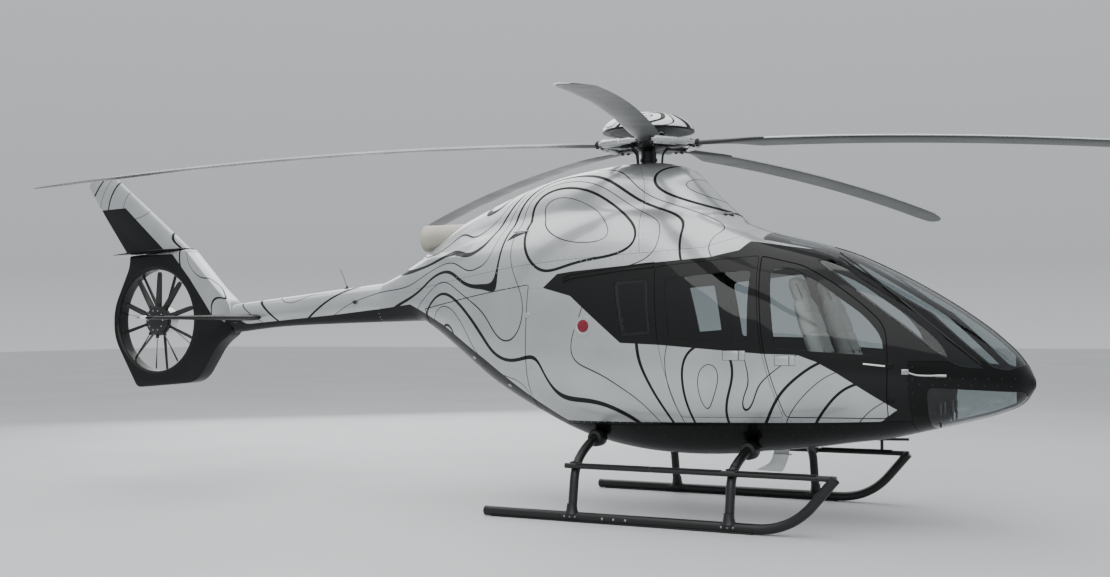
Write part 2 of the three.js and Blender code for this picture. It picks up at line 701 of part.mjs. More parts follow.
function hub() {
  let form = upright(mastRadius, 0, 0, gearboxTop + seam, rotorHeight, 20).add(upright(165, 0, 0, rotorHeight - 45,
    rotorHeight + 85, 20));
  for (let k = 0; k < bladeCount; k += 1) {
    const angle = THREE.MathUtils.degToRad(firstBladeAngle + (k * 360) / bladeCount);
    const arm = new THREE.BoxGeometry(bladeRoot - seam - 60, 118, 46).translate((bladeRoot - seam + 60) / 2, 0, 0);
    form = form.add(placed(arm.rotateZ(angle), 0, 0, bladeHeight));
    const between = angle + Math.PI / bladeCount;
    const damper = new THREE.CylinderGeometry(38, 38, 470, 10).translate(430, 0, 0).rotateZ(between);
    form = form.add(placed(damper, 0, 0, bladeHeight));
  }
  return form;
}

function hubCap() {
  const profile = [[0, 96], [150, 96], [150, 108], [425, 108], [430, 122]];
  for (let k = 1; k <= 6; k += 1) {
    const angle = (k / 6) * (Math.PI / 2);
    profile.push([430 * Math.cos(angle), 122 + 176 * Math.sin(angle)]);
  }
  const points = profile.map(([r, z]) => new THREE.Vector2(Math.max(r, 0), z - 11 + seam));
  return placed(new THREE.LatheGeometry(points, 24).rotateX(Math.PI / 2), 0, 0, rotorHeight);
}

// Inside the cabin
function seatBack(y0, y1) {
  return across([[1789, 1240], [1906, 1240], [1590, 2140], [1470, 2140]], y0, y1, 30, 2);
}

const frontSeatY = [170, 640];

const aircraft = new THREE.Group();
aircraft.position.x = mastForwardOfMiddle;

function add(name, solid, material) {
  const mesh = new THREE.Mesh(geometryOf(solid), material);
  mesh.name = name;
  aircraft.add(mesh);
  return solid;
}

const walls = cabin();
for (const { side } of sides) add(`cabin_side_${side}`, walls[side], silver);
add('rear_hull', walls.rear, silver);
add('roof_deck', deck(), greySteel);
add('belly_fairing', belly(), gloss);
add('nose_fairing', nose(), gloss);
const cover = cowlings();
add('cowling_forward', cover.forward, silver);
add('cowling_aft', cover.aft, silver);
add('gearbox_block', box(-330, 330, -260, 260, deckTop + seam, gearboxTop), greySteel);
add('engine_block', box(-1700, -800, -215, 215, deckTop + seam, 2730), greySteel);
add('exhaust_pipe', lengthwise(exhaustRadius, 0, exhaustHeight, -2515, -1700 - seam, 24)
  .subtract(lengthwise(exhaustRadius - 14, 0, exhaustHeight, -2600, -1760, 24)), heatStained);
add('cabin_floor', hull(skinThickness + seam).intersect(box(-700, noseSplit, -1500, 1500, floorTop - 30, floorTop)),
  trim);
add('rear_bulkhead', hull(skinThickness + 5).intersect(box(-740, -700 - seam, -1500, 1500, floorTop, ceiling - seam)),
  trim);
add('instrument_panel', box(2470, 2555, -430, 430, 1180, 1430).add(box(2440, 2500, -110, 110, floorTop + seam, 1200)),
  blackSteel);

for (const { side, sign } of sides) {
  add(`windscreen_${side}`, pane(windscreen, sign), tinted);
  add(`front_quarter_window_${side}`, pane(quarterGlass, sign), tinted);
  add(`chin_window_${side}`, pane(chinWindow, sign), tinted);
  add(`rear_window_${side}`, pane(rearWindow, sign), tinted);
  add(`front_door_${side}`, frontDoorPanel(sign), silver);
  add(`front_door_window_${side}`, pane(frontGlass, sign), tinted);
  add(`sliding_door_${side}`, slidingDoorPanel(sign), silver);
  add(`sliding_door_window_${side}`, pane(slidingGlass, sign), tinted);
  add(`clamshell_door_${side}`, clamshellDoor(sign), silver);
  const [near, far] = frontSeatY.map((y) => sign * y).sort((a, b) => a - b);
  add(`front_seat_frame_${side}`, box(1820, 2120, sign < 0 ? -470 : 200, sign < 0 ? -200 : 470,
    floorTop + seam, 1150), trim);
  add(`front_seat_cushion_${side}`, box(1800, 2290, near, far, 1150 + seam, 1270), leather);
  add(`front_seat_back_${side}`, seatBack(near, far).subtract(box(1700, 2300, -900, 900, 1100, 1270 + seam)), leather);
}
add('rear_seat_frame', box(-540, -180, -520, 520, floorTop + seam, 1150), trim);
add('rear_seat_cushion', box(-640, -120, -700, 700, 1150 + seam, 1280), leather);
add('rear_seat_back', box(-700, -560, -700, 700, 1280 + seam, 2020), leather);

add('tail_boom', tailBoom(), silver);
const shroud = duct().subtract(boomForm(seam)).subtract(wing(stabilizerTable, seam));
add('tail_duct', shroud, gloss);
add('fin_plate', wing(finPlateTable, 0, finPlateZ), gloss);
add('vertical_fin', fin(), silver);
add('stabilizer', wing(stabilizerTable), gloss);
add('tail_fan', fan(), blackSteel);
add('tail_fan_stator', stator(), blackSteel);

for (const { side, sign } of sides) add(`skid_${side}`, skid(sign), blackSteel);
add('rear_crosstube', leg(legTunnels[0]), blackSteel);
add('front_crosstube', leg(legTunnels[1]), blackSteel);
add('belly_antenna', across([[1034, 392], [1280, 385], [1345, 520], [1345, 650], [1225, 650], [1180, 470]], -6, 6)
  .subtract(hull(-seam)), white);

add('rotor_hub', hub(), blackSteel);
add('rotor_cap', hubCap(), white);
for (let k = 0; k < bladeCount; k += 1) {
  const mesh = new THREE.Mesh(geometryOf(bladeForm(bladeDroops[k])), blade);
  mesh.name = `rotor_blade_${k + 1}`;
  mesh.position.z = bladeHeight;
  mesh.rotation.z = THREE.MathUtils.degToRad(firstBladeAngle + (k * 360) / bladeCount);
  aircraft.add(mesh);
}

export default aircraft;
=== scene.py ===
"""Light helicopter with a shrouded tail rotor: its painted skins, glass, furnished cabin, rotors and skids.

Metres, +X to the nose, +Y to port, +Z up, ground at Z = 0. Tables and outlines are in
millimetres, with x measured from the main rotor's mast.
"""

import math

import bpy
from mathutils import Matrix, Vector


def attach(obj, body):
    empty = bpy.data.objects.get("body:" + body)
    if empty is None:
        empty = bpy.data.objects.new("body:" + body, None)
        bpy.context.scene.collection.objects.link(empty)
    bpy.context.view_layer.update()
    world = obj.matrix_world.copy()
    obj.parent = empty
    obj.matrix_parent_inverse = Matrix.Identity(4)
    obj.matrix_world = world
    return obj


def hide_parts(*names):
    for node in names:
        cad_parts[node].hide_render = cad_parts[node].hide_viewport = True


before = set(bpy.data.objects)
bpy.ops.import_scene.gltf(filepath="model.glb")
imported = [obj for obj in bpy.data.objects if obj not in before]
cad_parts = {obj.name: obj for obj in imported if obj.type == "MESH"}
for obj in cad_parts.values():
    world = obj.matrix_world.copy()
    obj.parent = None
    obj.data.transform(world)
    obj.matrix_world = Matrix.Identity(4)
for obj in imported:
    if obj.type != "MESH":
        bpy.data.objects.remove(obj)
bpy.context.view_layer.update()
bpy.ops.object.select_all(action="DESELECT")

MAST_X = 1.0
EXHAUST_Z = 2.6
SIDES = (("starboard", -1), ("port", 1))

# Form tables, in millimetres from the mast
# x, bottom, height of the widest point, top, half width
HULL = [
    (-3024, 1750, 1953, 2157, 131), (-2850, 1752, 1985, 2226, 165), (-2600, 1757, 2030, 2348, 228),
    (-2480, 1755, 2042, 2408, 270), (-2300, 1663, 2040, 2480, 345),
    (-1900, 1410, 1950, 2600, 520), (-1500, 1140, 1830, 2700, 670), (-1000, 885, 1660, 2790, 800),
    (-500, 672, 1550, 2850, 862), (0, 562, 1500, 2865, 885), (500, 530, 1480, 2800, 890),
    (950, 548, 1460, 2640, 886), (1250, 585, 1450, 2525, 872), (1600, 622, 1440, 2430, 850),
    (1950, 676, 1420, 2322, 805), (2300, 728, 1390, 2160, 725), (2650, 812, 1350, 1965, 610),
    (2950, 888, 1310, 1768, 480), (3200, 965, 1265, 1570, 340), (3370, 1055, 1230, 1385, 190),
    (3445, 1165, 1205, 1240, 40),
]
LOWER_FULLNESS = 2.7
UPPER_FULLNESS = 2.4
# x, top, half width and spread at the foot of the mast fairing
FAIRING = [
    (-2500, 2410, 105, 0), (-2380, 2478, 160, 60), (-2110, 2672, 225, 150), (-1640, 2889, 300, 230),
    (-950, 3120, 370, 260), (-500, 3195, 385, 260), (0, 3228, 385, 260), (300, 3185, 375, 260),
    (480, 3110, 350, 260), (700, 2880, 290, 260), (950, 2655, 200, 260), (1080, 2560, 100, 260),
]
FAIRING_FOOT = 2380
BLEND_WIDTH = 110

# Side-view outlines: x, height and the corner's radius
COWLING_SEAM = [(-2475, 2080), (-2174, 2106), (-963, 2262), (-506, 2300), (274, 2339), (830, 2374),
                (1080, 2462), (1165, 2560)]
COWLING_JOINT = [(-120, 3400), (110, 3000), (150, 2700), (275, 2250)]
CLAMSHELL = [(-900, 905, 30), (-860, 2085, 30), (-1208, 2040, 30), (-2330, 1880, 0), (-2330, 1500, 0),
             (-1500, 905, 0)]
SLIDING_DOOR = [(650, 905, 40), (472, 1505, 200), (412, 2215, 60), (1310, 2292, 30), (1405, 1455, 200),
                (1562, 925, 30)]
SLIDING_GLASS = [(581, 1588, 30), (515, 2105, 60), (1268, 2170, 40), (1284, 1570, 30)]
FRONT_DOOR = [(1578, 925, 30), (1421, 1455, 200), (1328, 2290, 30), (1700, 2200, 90), (1982, 2040, 200),
              (2225, 1855, 200), (2400, 1690, 110), (2425, 1425, 200), (2395, 925, 40)]
FRONT_GLASS = [(1520, 1500, 30), (1432, 2175, 60), (1580, 2185, 90), (1800, 2085, 200), (2240, 1765, 100),
               (2370, 1600, 90), (2392, 1440, 30)]
REAR_WINDOW = [(122, 1606, 30), (32, 2083, 30), (348, 2106, 30), (400, 1626, 30)]
QUARTER_GLASS = [(1790, 2240, 0), (2540, 1670, 0), (2766, 1478, 60), (2885, 1380, 60), (2965, 1348, 40),
                 (3118, 1336, 0), (2660, 1760, 0), (1900, 2248, 0)]
WINDSCREEN = [(1265, 2640, 0), (1265, 2440, 20), (1650, 2360, 60), (1910, 2268, 0), (2705, 1780, 0),
              (3180, 1336, 40), (3290, 1318, 20), (3600, 1450, 0), (2400, 2300, 0)]
CHIN_WINDOW = [(2706, 1186, 60), (2672, 700, 0), (3395, 700, 0), (3405, 1050, 40), (3392, 1140, 30)]

# Paint: x and height of the borders between silver and black
BAND_TOP = [(-701, 2047), (-562, 2172), (-416, 2191), (890, 2286), (1127, 2343), (1190, 2425), (1803, 2326),
            (1810, 2900)]
BAND_BOTTOM = [(-701, 2047), (-403, 1969), (114, 1548), (490, 1531), (1415, 1457), (1708, 1449), (1863, 1392),
               (2020, 1303), (2165, 1206), (2465, 1002)]
LOWER_LINE = [(-5368, 1846), (-5200, 1765), (-4813, 1743), (-3632, 1830), (-2577, 1927), (-2018, 1705),
              (-1434, 1380), (-906, 1041), (-560, 835), (2326, 897), (2465, 1002)]
DUCT_LINE = [(-5967, 2549), (-5700, 2261), (-5509, 2025), (-5368, 1846), (-5150, 1750)]
FIN_LINE = [(-7146, 3112), (-6770, 3118), (-6153, 2618), (-5967, 2549), (-5700, 2261)]

# Joint of the belly's skin: x and height
BELLY_JOINT = [(-860, 790), (2326, 897), (2560, 905)]

DOOR_GAP = 8
PANEL_GAP = 4
SKIN = 14
WALL = 40
GLASS_DEPTH = 3
GLASS_THICKNESS = 8
NOSE_SPLIT = 2560
NOSE_TOP = 1400
CLAMSHELL_REAR = -2312
KEEL_HALF_WIDTH = 120
LINING_EDGE = 22
COWLING_WALL = 18

# Stations along the hull where the rings of its skin and its hollow begin and end
RINGS_END = 3200
NOSE_STATIONS = [3240, 3280, 3315, 3345, 3370, 3392, 3412, 3428, 3438, 3445]
SKIN_HOLLOW_REAR = -2900
CABIN_HOLLOW_REAR = -2330
HOLLOW_FRONT = 3300

# Reach of the tools that cut the skins, in metres
NEAR_MIDDLE = 0.03
SIDE_REACH = 1.4
FULL_REACH = 1.5
COWLING_REACH = 1.6

BLADE_ANGLES = [math.radians(1.6 + 72 * k) for k in range(5)]
FAN = Vector((-5.25, 0, 1.79))
DUCT_RADIUS = 0.585
DUCT_HALF_WIDTH = 0.098


# Small helpers
def linear(hex_colour):
    channels = [int(hex_colour[i:i + 2], 16) / 255 for i in (1, 3, 5)]
    return tuple(c / 12.92 if c <= 0.04045 else ((c + 0.055) / 1.055) ** 2.4 for c in channels) + (1.0,)


def pick(piece):
    bpy.ops.object.select_all(action="DESELECT")
    piece.select_set(True)
    bpy.context.view_layer.objects.active = piece
    return piece


def settle(piece):
    """The piece's place goes into its mesh."""
    pick(piece)
    bpy.ops.object.transform_apply(location=True, rotation=True, scale=True)
    return piece


def smooth(piece, angle=32):
    pick(piece)
    bpy.ops.object.shade_smooth_by_angle(angle=math.radians(angle))
    return piece


def finish_piece(piece, name, material, body="airframe", angle=32):
    piece.name = name
    piece.data.name = name
    piece.data.materials.clear()
    piece.data.materials.append(material)
    smooth(piece, angle)
    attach(piece, body)
    return piece


def mesh_piece(name, points, faces):
    mesh = bpy.data.meshes.new(name)
    mesh.from_pydata(points, [], faces)
    mesh.update()
    piece = bpy.data.objects.new(name, mesh)
    bpy.context.collection.objects.link(piece)
    return piece


def modify(piece, kind, **settings):
    """Adds a modifier with its settings and applies it."""
    modifier = piece.modifiers.new(kind.lower(), kind)
    for key, value in settings.items():
        setattr(modifier, key, value)
    pick(piece)
    bpy.ops.object.modifier_apply(modifier=modifier.name)
    return piece


def cut(piece, *tools, operation="DIFFERENCE"):
    for tool in tools:
        modify(piece, "BOOLEAN", operation=operation, solver="EXACT", object=tool)
    return piece


def drop(*pieces):
    for piece in pieces:
        bpy.data.objects.remove(piece)


def faced_out(piece, merge=0.0):
    """Closes the seams within a distance and turns every face outwards."""
    pick(piece)
    bpy.ops.object.mode_set(mode="EDIT")
    bpy.ops.mesh.select_all(action="SELECT")
    if merge:
        bpy.ops.mesh.remove_doubles(threshold=merge)
    bpy.ops.mesh.normals_make_consistent(inside=False)
    bpy.ops.object.mode_set(mode="OBJECT")
    return piece


def joined(pieces, name):
    bpy.ops.object.select_all(action="DESELECT")
    for piece in pieces:
        piece.select_set(True)
    bpy.context.view_layer.objects.active = pieces[0]
    if len(pieces) > 1:
        bpy.ops.object.join()
    pieces[0].name = name
    return pieces[0]


def copy_of(piece, name):
    twin = piece.copy()
    twin.data = piece.data.copy()
    twin.name = name
    bpy.context.collection.objects.link(twin)
    return twin


def mirrored(piece, name):
    """The same piece on the other side of the aircraft."""
    twin = copy_of(piece, name)
    twin.data.transform(Matrix.Diagonal((1, -1, 1, 1)))
    twin.data.flip_normals()
    return twin


def block(low, high, bevel=0.0, segments=3):
    """A box between two corners with its edges rounded."""
    low, high = Vector(low), Vector(high)
    bpy.ops.mesh.primitive_cube_add(size=1, location=(low + high) / 2)
    piece = bpy.context.object
    piece.scale = high - low
    settle(piece)
    if bevel:
        modify(piece, "BEVEL", width=bevel, segments=segments, limit_method="NONE")
    return piece


def turned(profile, place=(0, 0, 0), axis="Z", steps=48):
    """A profile of (radius, height) points spun round an axis."""
    mesh = bpy.data.meshes.new("turned")
    mesh.from_pydata([(r, 0, z) for r, z in profile], [(i, i + 1) for i in range(len(profile) - 1)], [])
    piece = bpy.data.objects.new("turned", mesh)
    bpy.context.collection.objects.link(piece)
    pick(piece)
    bpy.ops.object.mode_set(mode="EDIT")
    bpy.ops.mesh.select_all(action="SELECT")
    bpy.ops.mesh.spin(steps=steps, angle=2 * math.pi, center=(0, 0, 0), axis=(0, 0, 1))
    bpy.ops.object.mode_set(mode="OBJECT")
    faced_out(piece, 1e-5)
    if axis == "Y":
        piece.data.transform(Matrix.Rotation(-math.pi / 2, 4, "X"))
    if axis == "X":
        piece.data.transform(Matrix.Rotation(math.pi / 2, 4, "Y"))
    piece.data.transform(Matrix.Translation(place))
    return piece


def pipe(points, radius, sides=16, bends=0.0):
    """A round bar along a chain of points, with its corners bent to a reach."""
    steps = 6
    path = [Vector(points[0])]
    for i in range(1, len(points) - 1):
        before, corner, after = (Vector(points[j]) for j in (i - 1, i, i + 1))
        reach = min(bends, 0.48 * (before - corner).length, 0.48 * (after - corner).length)
        start = corner + (before - corner).normalized() * reach
        end = corner + (after - corner).normalized() * reach
        for k in range(steps + 1):
            t = k / steps
            path.append(start * (1 - t) ** 2 + corner * 2 * t * (1 - t) + end * t * t)
    path.append(Vector(points[-1]))
    curve = bpy.data.curves.new("pipe", "CURVE")
    curve.dimensions = "3D"
    curve.bevel_depth = radius
    curve.bevel_resolution = max(sides // 4 - 1, 0)
    curve.use_fill_caps = True
    spline = curve.splines.new("POLY")
    spline.points.add(len(path) - 1)
    for point, place in zip(spline.points, path):
        point.co = (*place, 1)
    piece = bpy.data.objects.new("pipe", curve)
    bpy.context.collection.objects.link(piece)
    pick(piece)
    bpy.ops.object.convert(target="MESH")
    return faced_out(bpy.context.object, 1e-6)


# Places and outlines
def row_point(x, y, z):
    """Millimetres from the mast to metres in the row frame."""
    return (x / 1000 + MAST_X, y / 1000, z / 1000)


def rounded(corners, steps=5):
    """The outline's points in the row frame, each corner turned by a curve."""
    line = []
    for i, (x, z, radius) in enumerate(corners):
        corner = Vector((x, z))
        before = Vector(corners[i - 1][:2]) - corner
        after = Vector(corners[(i + 1) % len(corners)][:2]) - corner
        reach = min(radius, 0.45 * before.length, 0.45 * after.length)
        if reach <= 0:
            line.append(corner)
            continue
        start, end = corner + before.normalized() * reach, corner + after.normalized() * reach
        for k in range(steps + 1):
            t = k / steps
            line.append(start * (1 - t) ** 2 + corner * 2 * t * (1 - t) + end * t * t)
    return [(p.x / 1000 + MAST_X, p.y / 1000) for p in line]


def grown(corners, distance):
    """The same outline moved outwards by a distance, or inwards where it is negative."""
    area = sum(corners[i - 1][0] * corners[i][1] - corners[i][0] * corners[i - 1][1]
               for i in range(len(corners)))
    turn = math.copysign(1, area)
    moved = []
    for i, (x, z, radius) in enumerate(corners):
        corner = Vector((x, z))
        before = (corner - Vector(corners[i - 1][:2])).normalized()
        after = (Vector(corners[(i + 1) % len(corners)][:2]) - corner).normalized()
        bisector = Vector((before.y + after.y, -before.x - after.x))
        reach = 2 * distance * turn / bisector.length_squared
        turned_by = turn * math.atan2(before.cross(after), before.dot(after))
        wider = max(radius + distance * math.tan(turned_by / 2), 2) if radius else 0
        moved.append((x + bisector.x * reach, z + bisector.y * reach, wider))
    return moved


def prism(line, y0, y1):
    """An outline of (x, z) points in the row frame, pushed across the aircraft."""
    count = len(line)
    points = [(x, y, z) for y in (y0, y1) for x, z in line]
    faces = [tuple(range(count)), tuple(range(2 * count - 1, count - 1, -1))]
    faces += [((i + 1) % count, i, count + i, count + (i + 1) % count) for i in range(count)]
    return faced_out(mesh_piece("prism", points, faces))


def through(line, reach=FULL_REACH):
    """A prism right through the aircraft."""
    return prism(line, -reach, reach)


def side_prism(corners, distance=0.0, sign=-1):
    """A prism through one side of the hull."""
    near, far = sorted((sign * NEAR_MIDDLE, sign * SIDE_REACH))
    return prism(rounded(grown(corners, distance) if distance else corners), near, far)


def straight(points):
    return [(x / 1000 + MAST_X, z / 1000) for x, z in points]


# Hull and cowling forms
def reading(table, x, column):
    """A smooth curve through one column of a table."""
    x = min(max(x, table[0][0]), table[-1][0])
    i = max(k for k in range(len(table) - 1) if table[k][0] <= x)
    (x0, y0), (x1, y1) = ((table[k][0], table[k][column]) for k in (i, i + 1))
    chord = (y1 - y0) / (x1 - x0)

    def slope(k):
        if k == 0 or k == len(table) - 1:
            return chord
        left = (table[k][column] - table[k - 1][column]) / (table[k][0] - table[k - 1][0])
        right = (table[k + 1][column] - table[k][column]) / (table[k + 1][0] - table[k][0])
        return (left + right) / 2

    t = (x - x0) / (x1 - x0)
    span = x1 - x0
    return (y0 * (1 + 2 * t) * (1 - t) ** 2 + slope(i) * span * t * (1 - t) ** 2
            + y1 * t * t * (3 - 2 * t) - slope(i + 1) * span * t * t * (1 - t))


def half_width(x, z, inset=0.0):
    """Half width of the hull at a height, in the row frame."""
    mast_x, z, inset = (x - MAST_X) * 1000, z * 1000, inset * 1000
    bottom, belt, top, half = (reading(HULL, mast_x, column) for column in (1, 2, 3, 4))
    upper = z > belt
    reach = (z - belt) / (top - inset - belt) if upper else (belt - z) / (belt - bottom - inset)
    n = UPPER_FULLNESS if upper else LOWER_FULLNESS
    return 0.0 if reach >= 1 else (half - inset) * (1 - reach ** n) ** (1 / n) / 1000


def hull_ring(mast_x, inset, angles):
    bottom, belt, top, half = (reading(HULL, mast_x, column) for column in (1, 2, 3, 4))
    ring = []
    for angle in angles:
        upper = math.sin(angle) > 0
        n = UPPER_FULLNESS if upper else LOWER_FULLNESS
        tall = (top - belt if upper else belt - bottom) - inset
        wide = half - inset
        reach = ((abs(math.cos(angle)) / wide) ** n + (abs(math.sin(angle)) / tall) ** n) ** (-1 / n)
        ring.append(row_point(mast_x, reach * math.cos(angle), belt + reach * math.sin(angle)))
    return ring


def stations(first, last, step):
    count = max(int(round((last - first) / step)), 1)
    return [first + (last - first) * k / count for k in range(count + 1)]


def closed_skin(rings):
    """Points and faces of a skin through rings of equal length, closed at both ends."""
    count = len(rings[0])
    points = [p for ring in rings for p in ring]
    faces = []
    for i in range(len(rings) - 1):
        for k in range(count):
            a, b = i * count + k, i * count + (k + 1) % count
            faces.append((a, b, b + count, a + count))
    faces.append(tuple(range(count - 1, -1, -1)))
    faces.append(tuple((len(rings) - 1) * count + k for k in range(count)))
    return points, faces


def closed_piece(name, rings, hollow_rings=None):
    """A solid from rings, with a sealed hollow where one is given."""
    piece = faced_out(mesh_piece(name, *closed_skin(rings)))
    if hollow_rings:
        hollow = closed_piece("hollow", hollow_rings)
        hollow.data.flip_normals()
        joined([piece, hollow], name)
    return piece


def hull_solid(name, outer, inner, hollow_rear=SKIN_HOLLOW_REAR, step=45, facets=120):
    """The hull between two depths under its surface."""
    angles = [2 * math.pi * (k + 0.5) / facets for k in range(facets)]
    rings = [hull_ring(x, outer, angles) for x in stations(HULL[0][0], RINGS_END, step) + NOSE_STATIONS]
    hollow = [hull_ring(x, inner, angles) for x in stations(hollow_rear, HOLLOW_FRONT, step)]
    return closed_piece(name, rings, hollow)


def hull_patch(name, corners, outer, inner):
    """A thick patch of the starboard hull that covers an outline."""
    margin = 60
    low = min(x for x, z, r in corners) - margin
    high = min(max(x for x, z, r in corners) + margin, 3430)
    rows = stations(max(low, -3020), high, 30)
    angles = [math.radians(a) for a in range(92, 269, 3)]
    grids = [[hull_ring(x, inset, angles) for x in rows] for inset in (outer, inner)]
    wide = len(angles)
    size = wide * len(rows)
    points = [p for grid in grids for ring in grid for p in ring]
    faces = []
    for i in range(len(rows) - 1):
        for k in range(wide - 1):
            a = i * wide + k
            faces.append((a, a + 1, a + wide + 1, a + wide))
            faces.append((size + a, size + a + wide, size + a + wide + 1, size + a + 1))
    for i in range(len(rows) - 1):
        for k in (0, wide - 1):
            a = i * wide + k
            faces.append((a, a + wide, size + a + wide, size + a))
    for i in (0, len(rows) - 1):
        for k in range(wide - 1):
            a = i * wide + k
            faces.append((a, a + 1, size + a + 1, size + a))
    return faced_out(mesh_piece(name, points, faces))


def upper_half_width(mast_x, z, inset):
    """Half width of the cowlings' form: the hull with the mast fairing blended on."""
    body = half_width(mast_x / 1000 + MAST_X, z / 1000, inset / 1000) * 1000
    if not FAIRING[0][0] <= mast_x <= FAIRING[-1][0]:
        return body
    top = reading(FAIRING, mast_x, 1) - inset
    half = reading(FAIRING, mast_x, 2) - inset
    rise = min(max((z - FAIRING_FOOT) / (top - FAIRING_FOOT), 0), 1)
    spread = max(reading(FAIRING, mast_x, 3), 0)
    fairing = half * (1 - rise ** 4) ** 0.5 + spread * (1 - rise) ** 3 if z < top else 0
    overlap = max(BLEND_WIDTH - abs(fairing - body), 0) / BLEND_WIDTH
    return max(fairing, body) + overlap ** 2 * BLEND_WIDTH * rise / 4


def cowling_rings(inset):
    """Rings through the cowlings' form, which an inset also shortens at both ends."""
    levels = 44
    lowest = 1900 + inset
    least_half_width = 6
    rings = []
    for mast_x in stations(-2700 + 2 * inset, 1180 - 2 * inset, 48):
        fairing_top = reading(FAIRING, mast_x, 1) if FAIRING[0][0] <= mast_x <= FAIRING[-1][0] else 0
        top = max(fairing_top, reading(HULL, mast_x, 3)) - inset
        side = []
        for k in range(levels):
            z = lowest + (top - lowest) * math.sin(k / levels * math.pi / 2)
            side.append((z, max(upper_half_width(mast_x, z, inset), least_half_width)))
        x = mast_x / 1000 + MAST_X
        ring = [(x, y / 1000, z / 1000) for z, y in side]
        ring.append((x, 0, top / 1000))
        ring += [(x, -y / 1000, z / 1000) for z, y in reversed(side)]
        rings.append(ring)
    return rings


# Materials
def node(tree, kind, inputs=None, **settings):
    made = tree.nodes.new(kind)
    for key, value in settings.items():
        setattr(made, key, value)
    for key, value in (inputs or {}).items():
        if isinstance(value, bpy.types.NodeSocket):
            tree.links.new(value, made.inputs[key])
        else:
            made.inputs[key].default_value = value
    return made


def new_material(name):
    """A material's tree, its Principled shader and Object coordinates."""
    material = bpy.data.materials.new(name)
    material.use_nodes = True
    tree = material.node_tree
    shader = tree.nodes["Principled BSDF"]
    place = node(tree, "ShaderNodeTexCoord").outputs["Object"]
    return material, tree, shader, place


def feed(tree, shader, **sockets):
    """Values and links for the shader's sockets, with _ for a space in a name."""
    for key, value in sockets.items():
        socket = shader.inputs[key.replace("_", " ")]
        if isinstance(value, bpy.types.NodeSocket):
            tree.links.new(value, socket)
        else:
            socket.default_value = value


def mottled(tree, place, dark, light, scale, detail=4.0):
    """A colour that wanders between two shades, and the noise that moves it."""
    grain = node(tree, "ShaderNodeTexNoise", {"Vector": place, "Scale": scale, "Detail": detail})
    share = node(tree, "ShaderNodeMapRange", {"Value": grain.outputs["Fac"], "From Min": 0.35,
                                              "From Max": 0.65})
    mix = node(tree, "ShaderNodeMix", {"Factor": share.outputs["Result"]}, data_type="RGBA")
    mix.inputs["A"].default_value = linear(dark)
    mix.inputs["B"].default_value = linear(light)
    return mix.outputs["Result"], grain.outputs["Fac"]


def bumped(tree, height, strength, distance):
    return node(tree, "ShaderNodeBump", {"Height": height, "Strength": strength,
                                         "Distance": distance}).outputs["Normal"]


def simple(name, dark, light, scale, roughness, spread=0.08, metallic=0.0, bump=0.15, depth=0.0004,
           **sockets):
    """A finish with a faint mottling of its colour, its gloss and its surface."""
    material, tree, shader, place = new_material(name)
    colour, grain = mottled(tree, place, dark, light, scale)
    rough = node(tree, "ShaderNodeMapRange", {"Value": grain, "From Min": 0.3, "From Max": 0.7,
                                              "To Min": roughness - spread / 2,
                                              "To Max": roughness + spread / 2})
    feed(tree, shader, Base_Color=colour, Roughness=rough.outputs["Result"], Metallic=metallic,
         Normal=bumped(tree, grain, bump, depth), **sockets)
    return material


def border(tree, x, table, low, high):
    """Height of a painted border at each x, from a table of x and height."""
    margin = 200
    first, last = table[0][0] - margin, table[-1][0] + margin
    share = node(tree, "ShaderNodeMapRange", {"Value": x, "From Min": first / 1000 + MAST_X,
                                              "From Max": last / 1000 + MAST_X}).outputs["Result"]
    curve = node(tree, "ShaderNodeFloatCurve", {"Value": share})
    points = [(first, table[0][1])] + table + [(last, table[-1][1])]
    handles = curve.mapping.curves[0].points
    while len(handles) < len(points):
        handles.new(0.5, 0.5)
    places = [((px - first) / (last - first), (pz - low) / (high - low)) for px, pz in points]
    for handle, spot in zip(handles, places):
        handle.location = spot
        handle.handle_type = "VECTOR"
    curve.mapping.update()
    return node(tree, "ShaderNodeMapRange", {"Value": curve.outputs["Value"], "To Min": low / 1000,
                                             "To Max": high / 1000}).outputs["Result"]


def maths(tree, operation, *values):
    made = node(tree, "ShaderNodeMath", operation=operation)
    for i, value in enumerate(values):
        if isinstance(value, bpy.types.NodeSocket):
            tree.links.new(value, made.inputs[i])
        else:
            made.inputs[i].default_value = value
    return made.outputs[0]


def over(tree, upper, lower, soft=0.0015):
    """1 where the first height is above the second, with an edge that softens over a few millimetres."""
    return node(tree, "ShaderNodeMapRange", {"Value": maths(tree, "SUBTRACT", upper, lower),
                                             "From Min": -soft, "From Max": soft}).outputs["Result"]


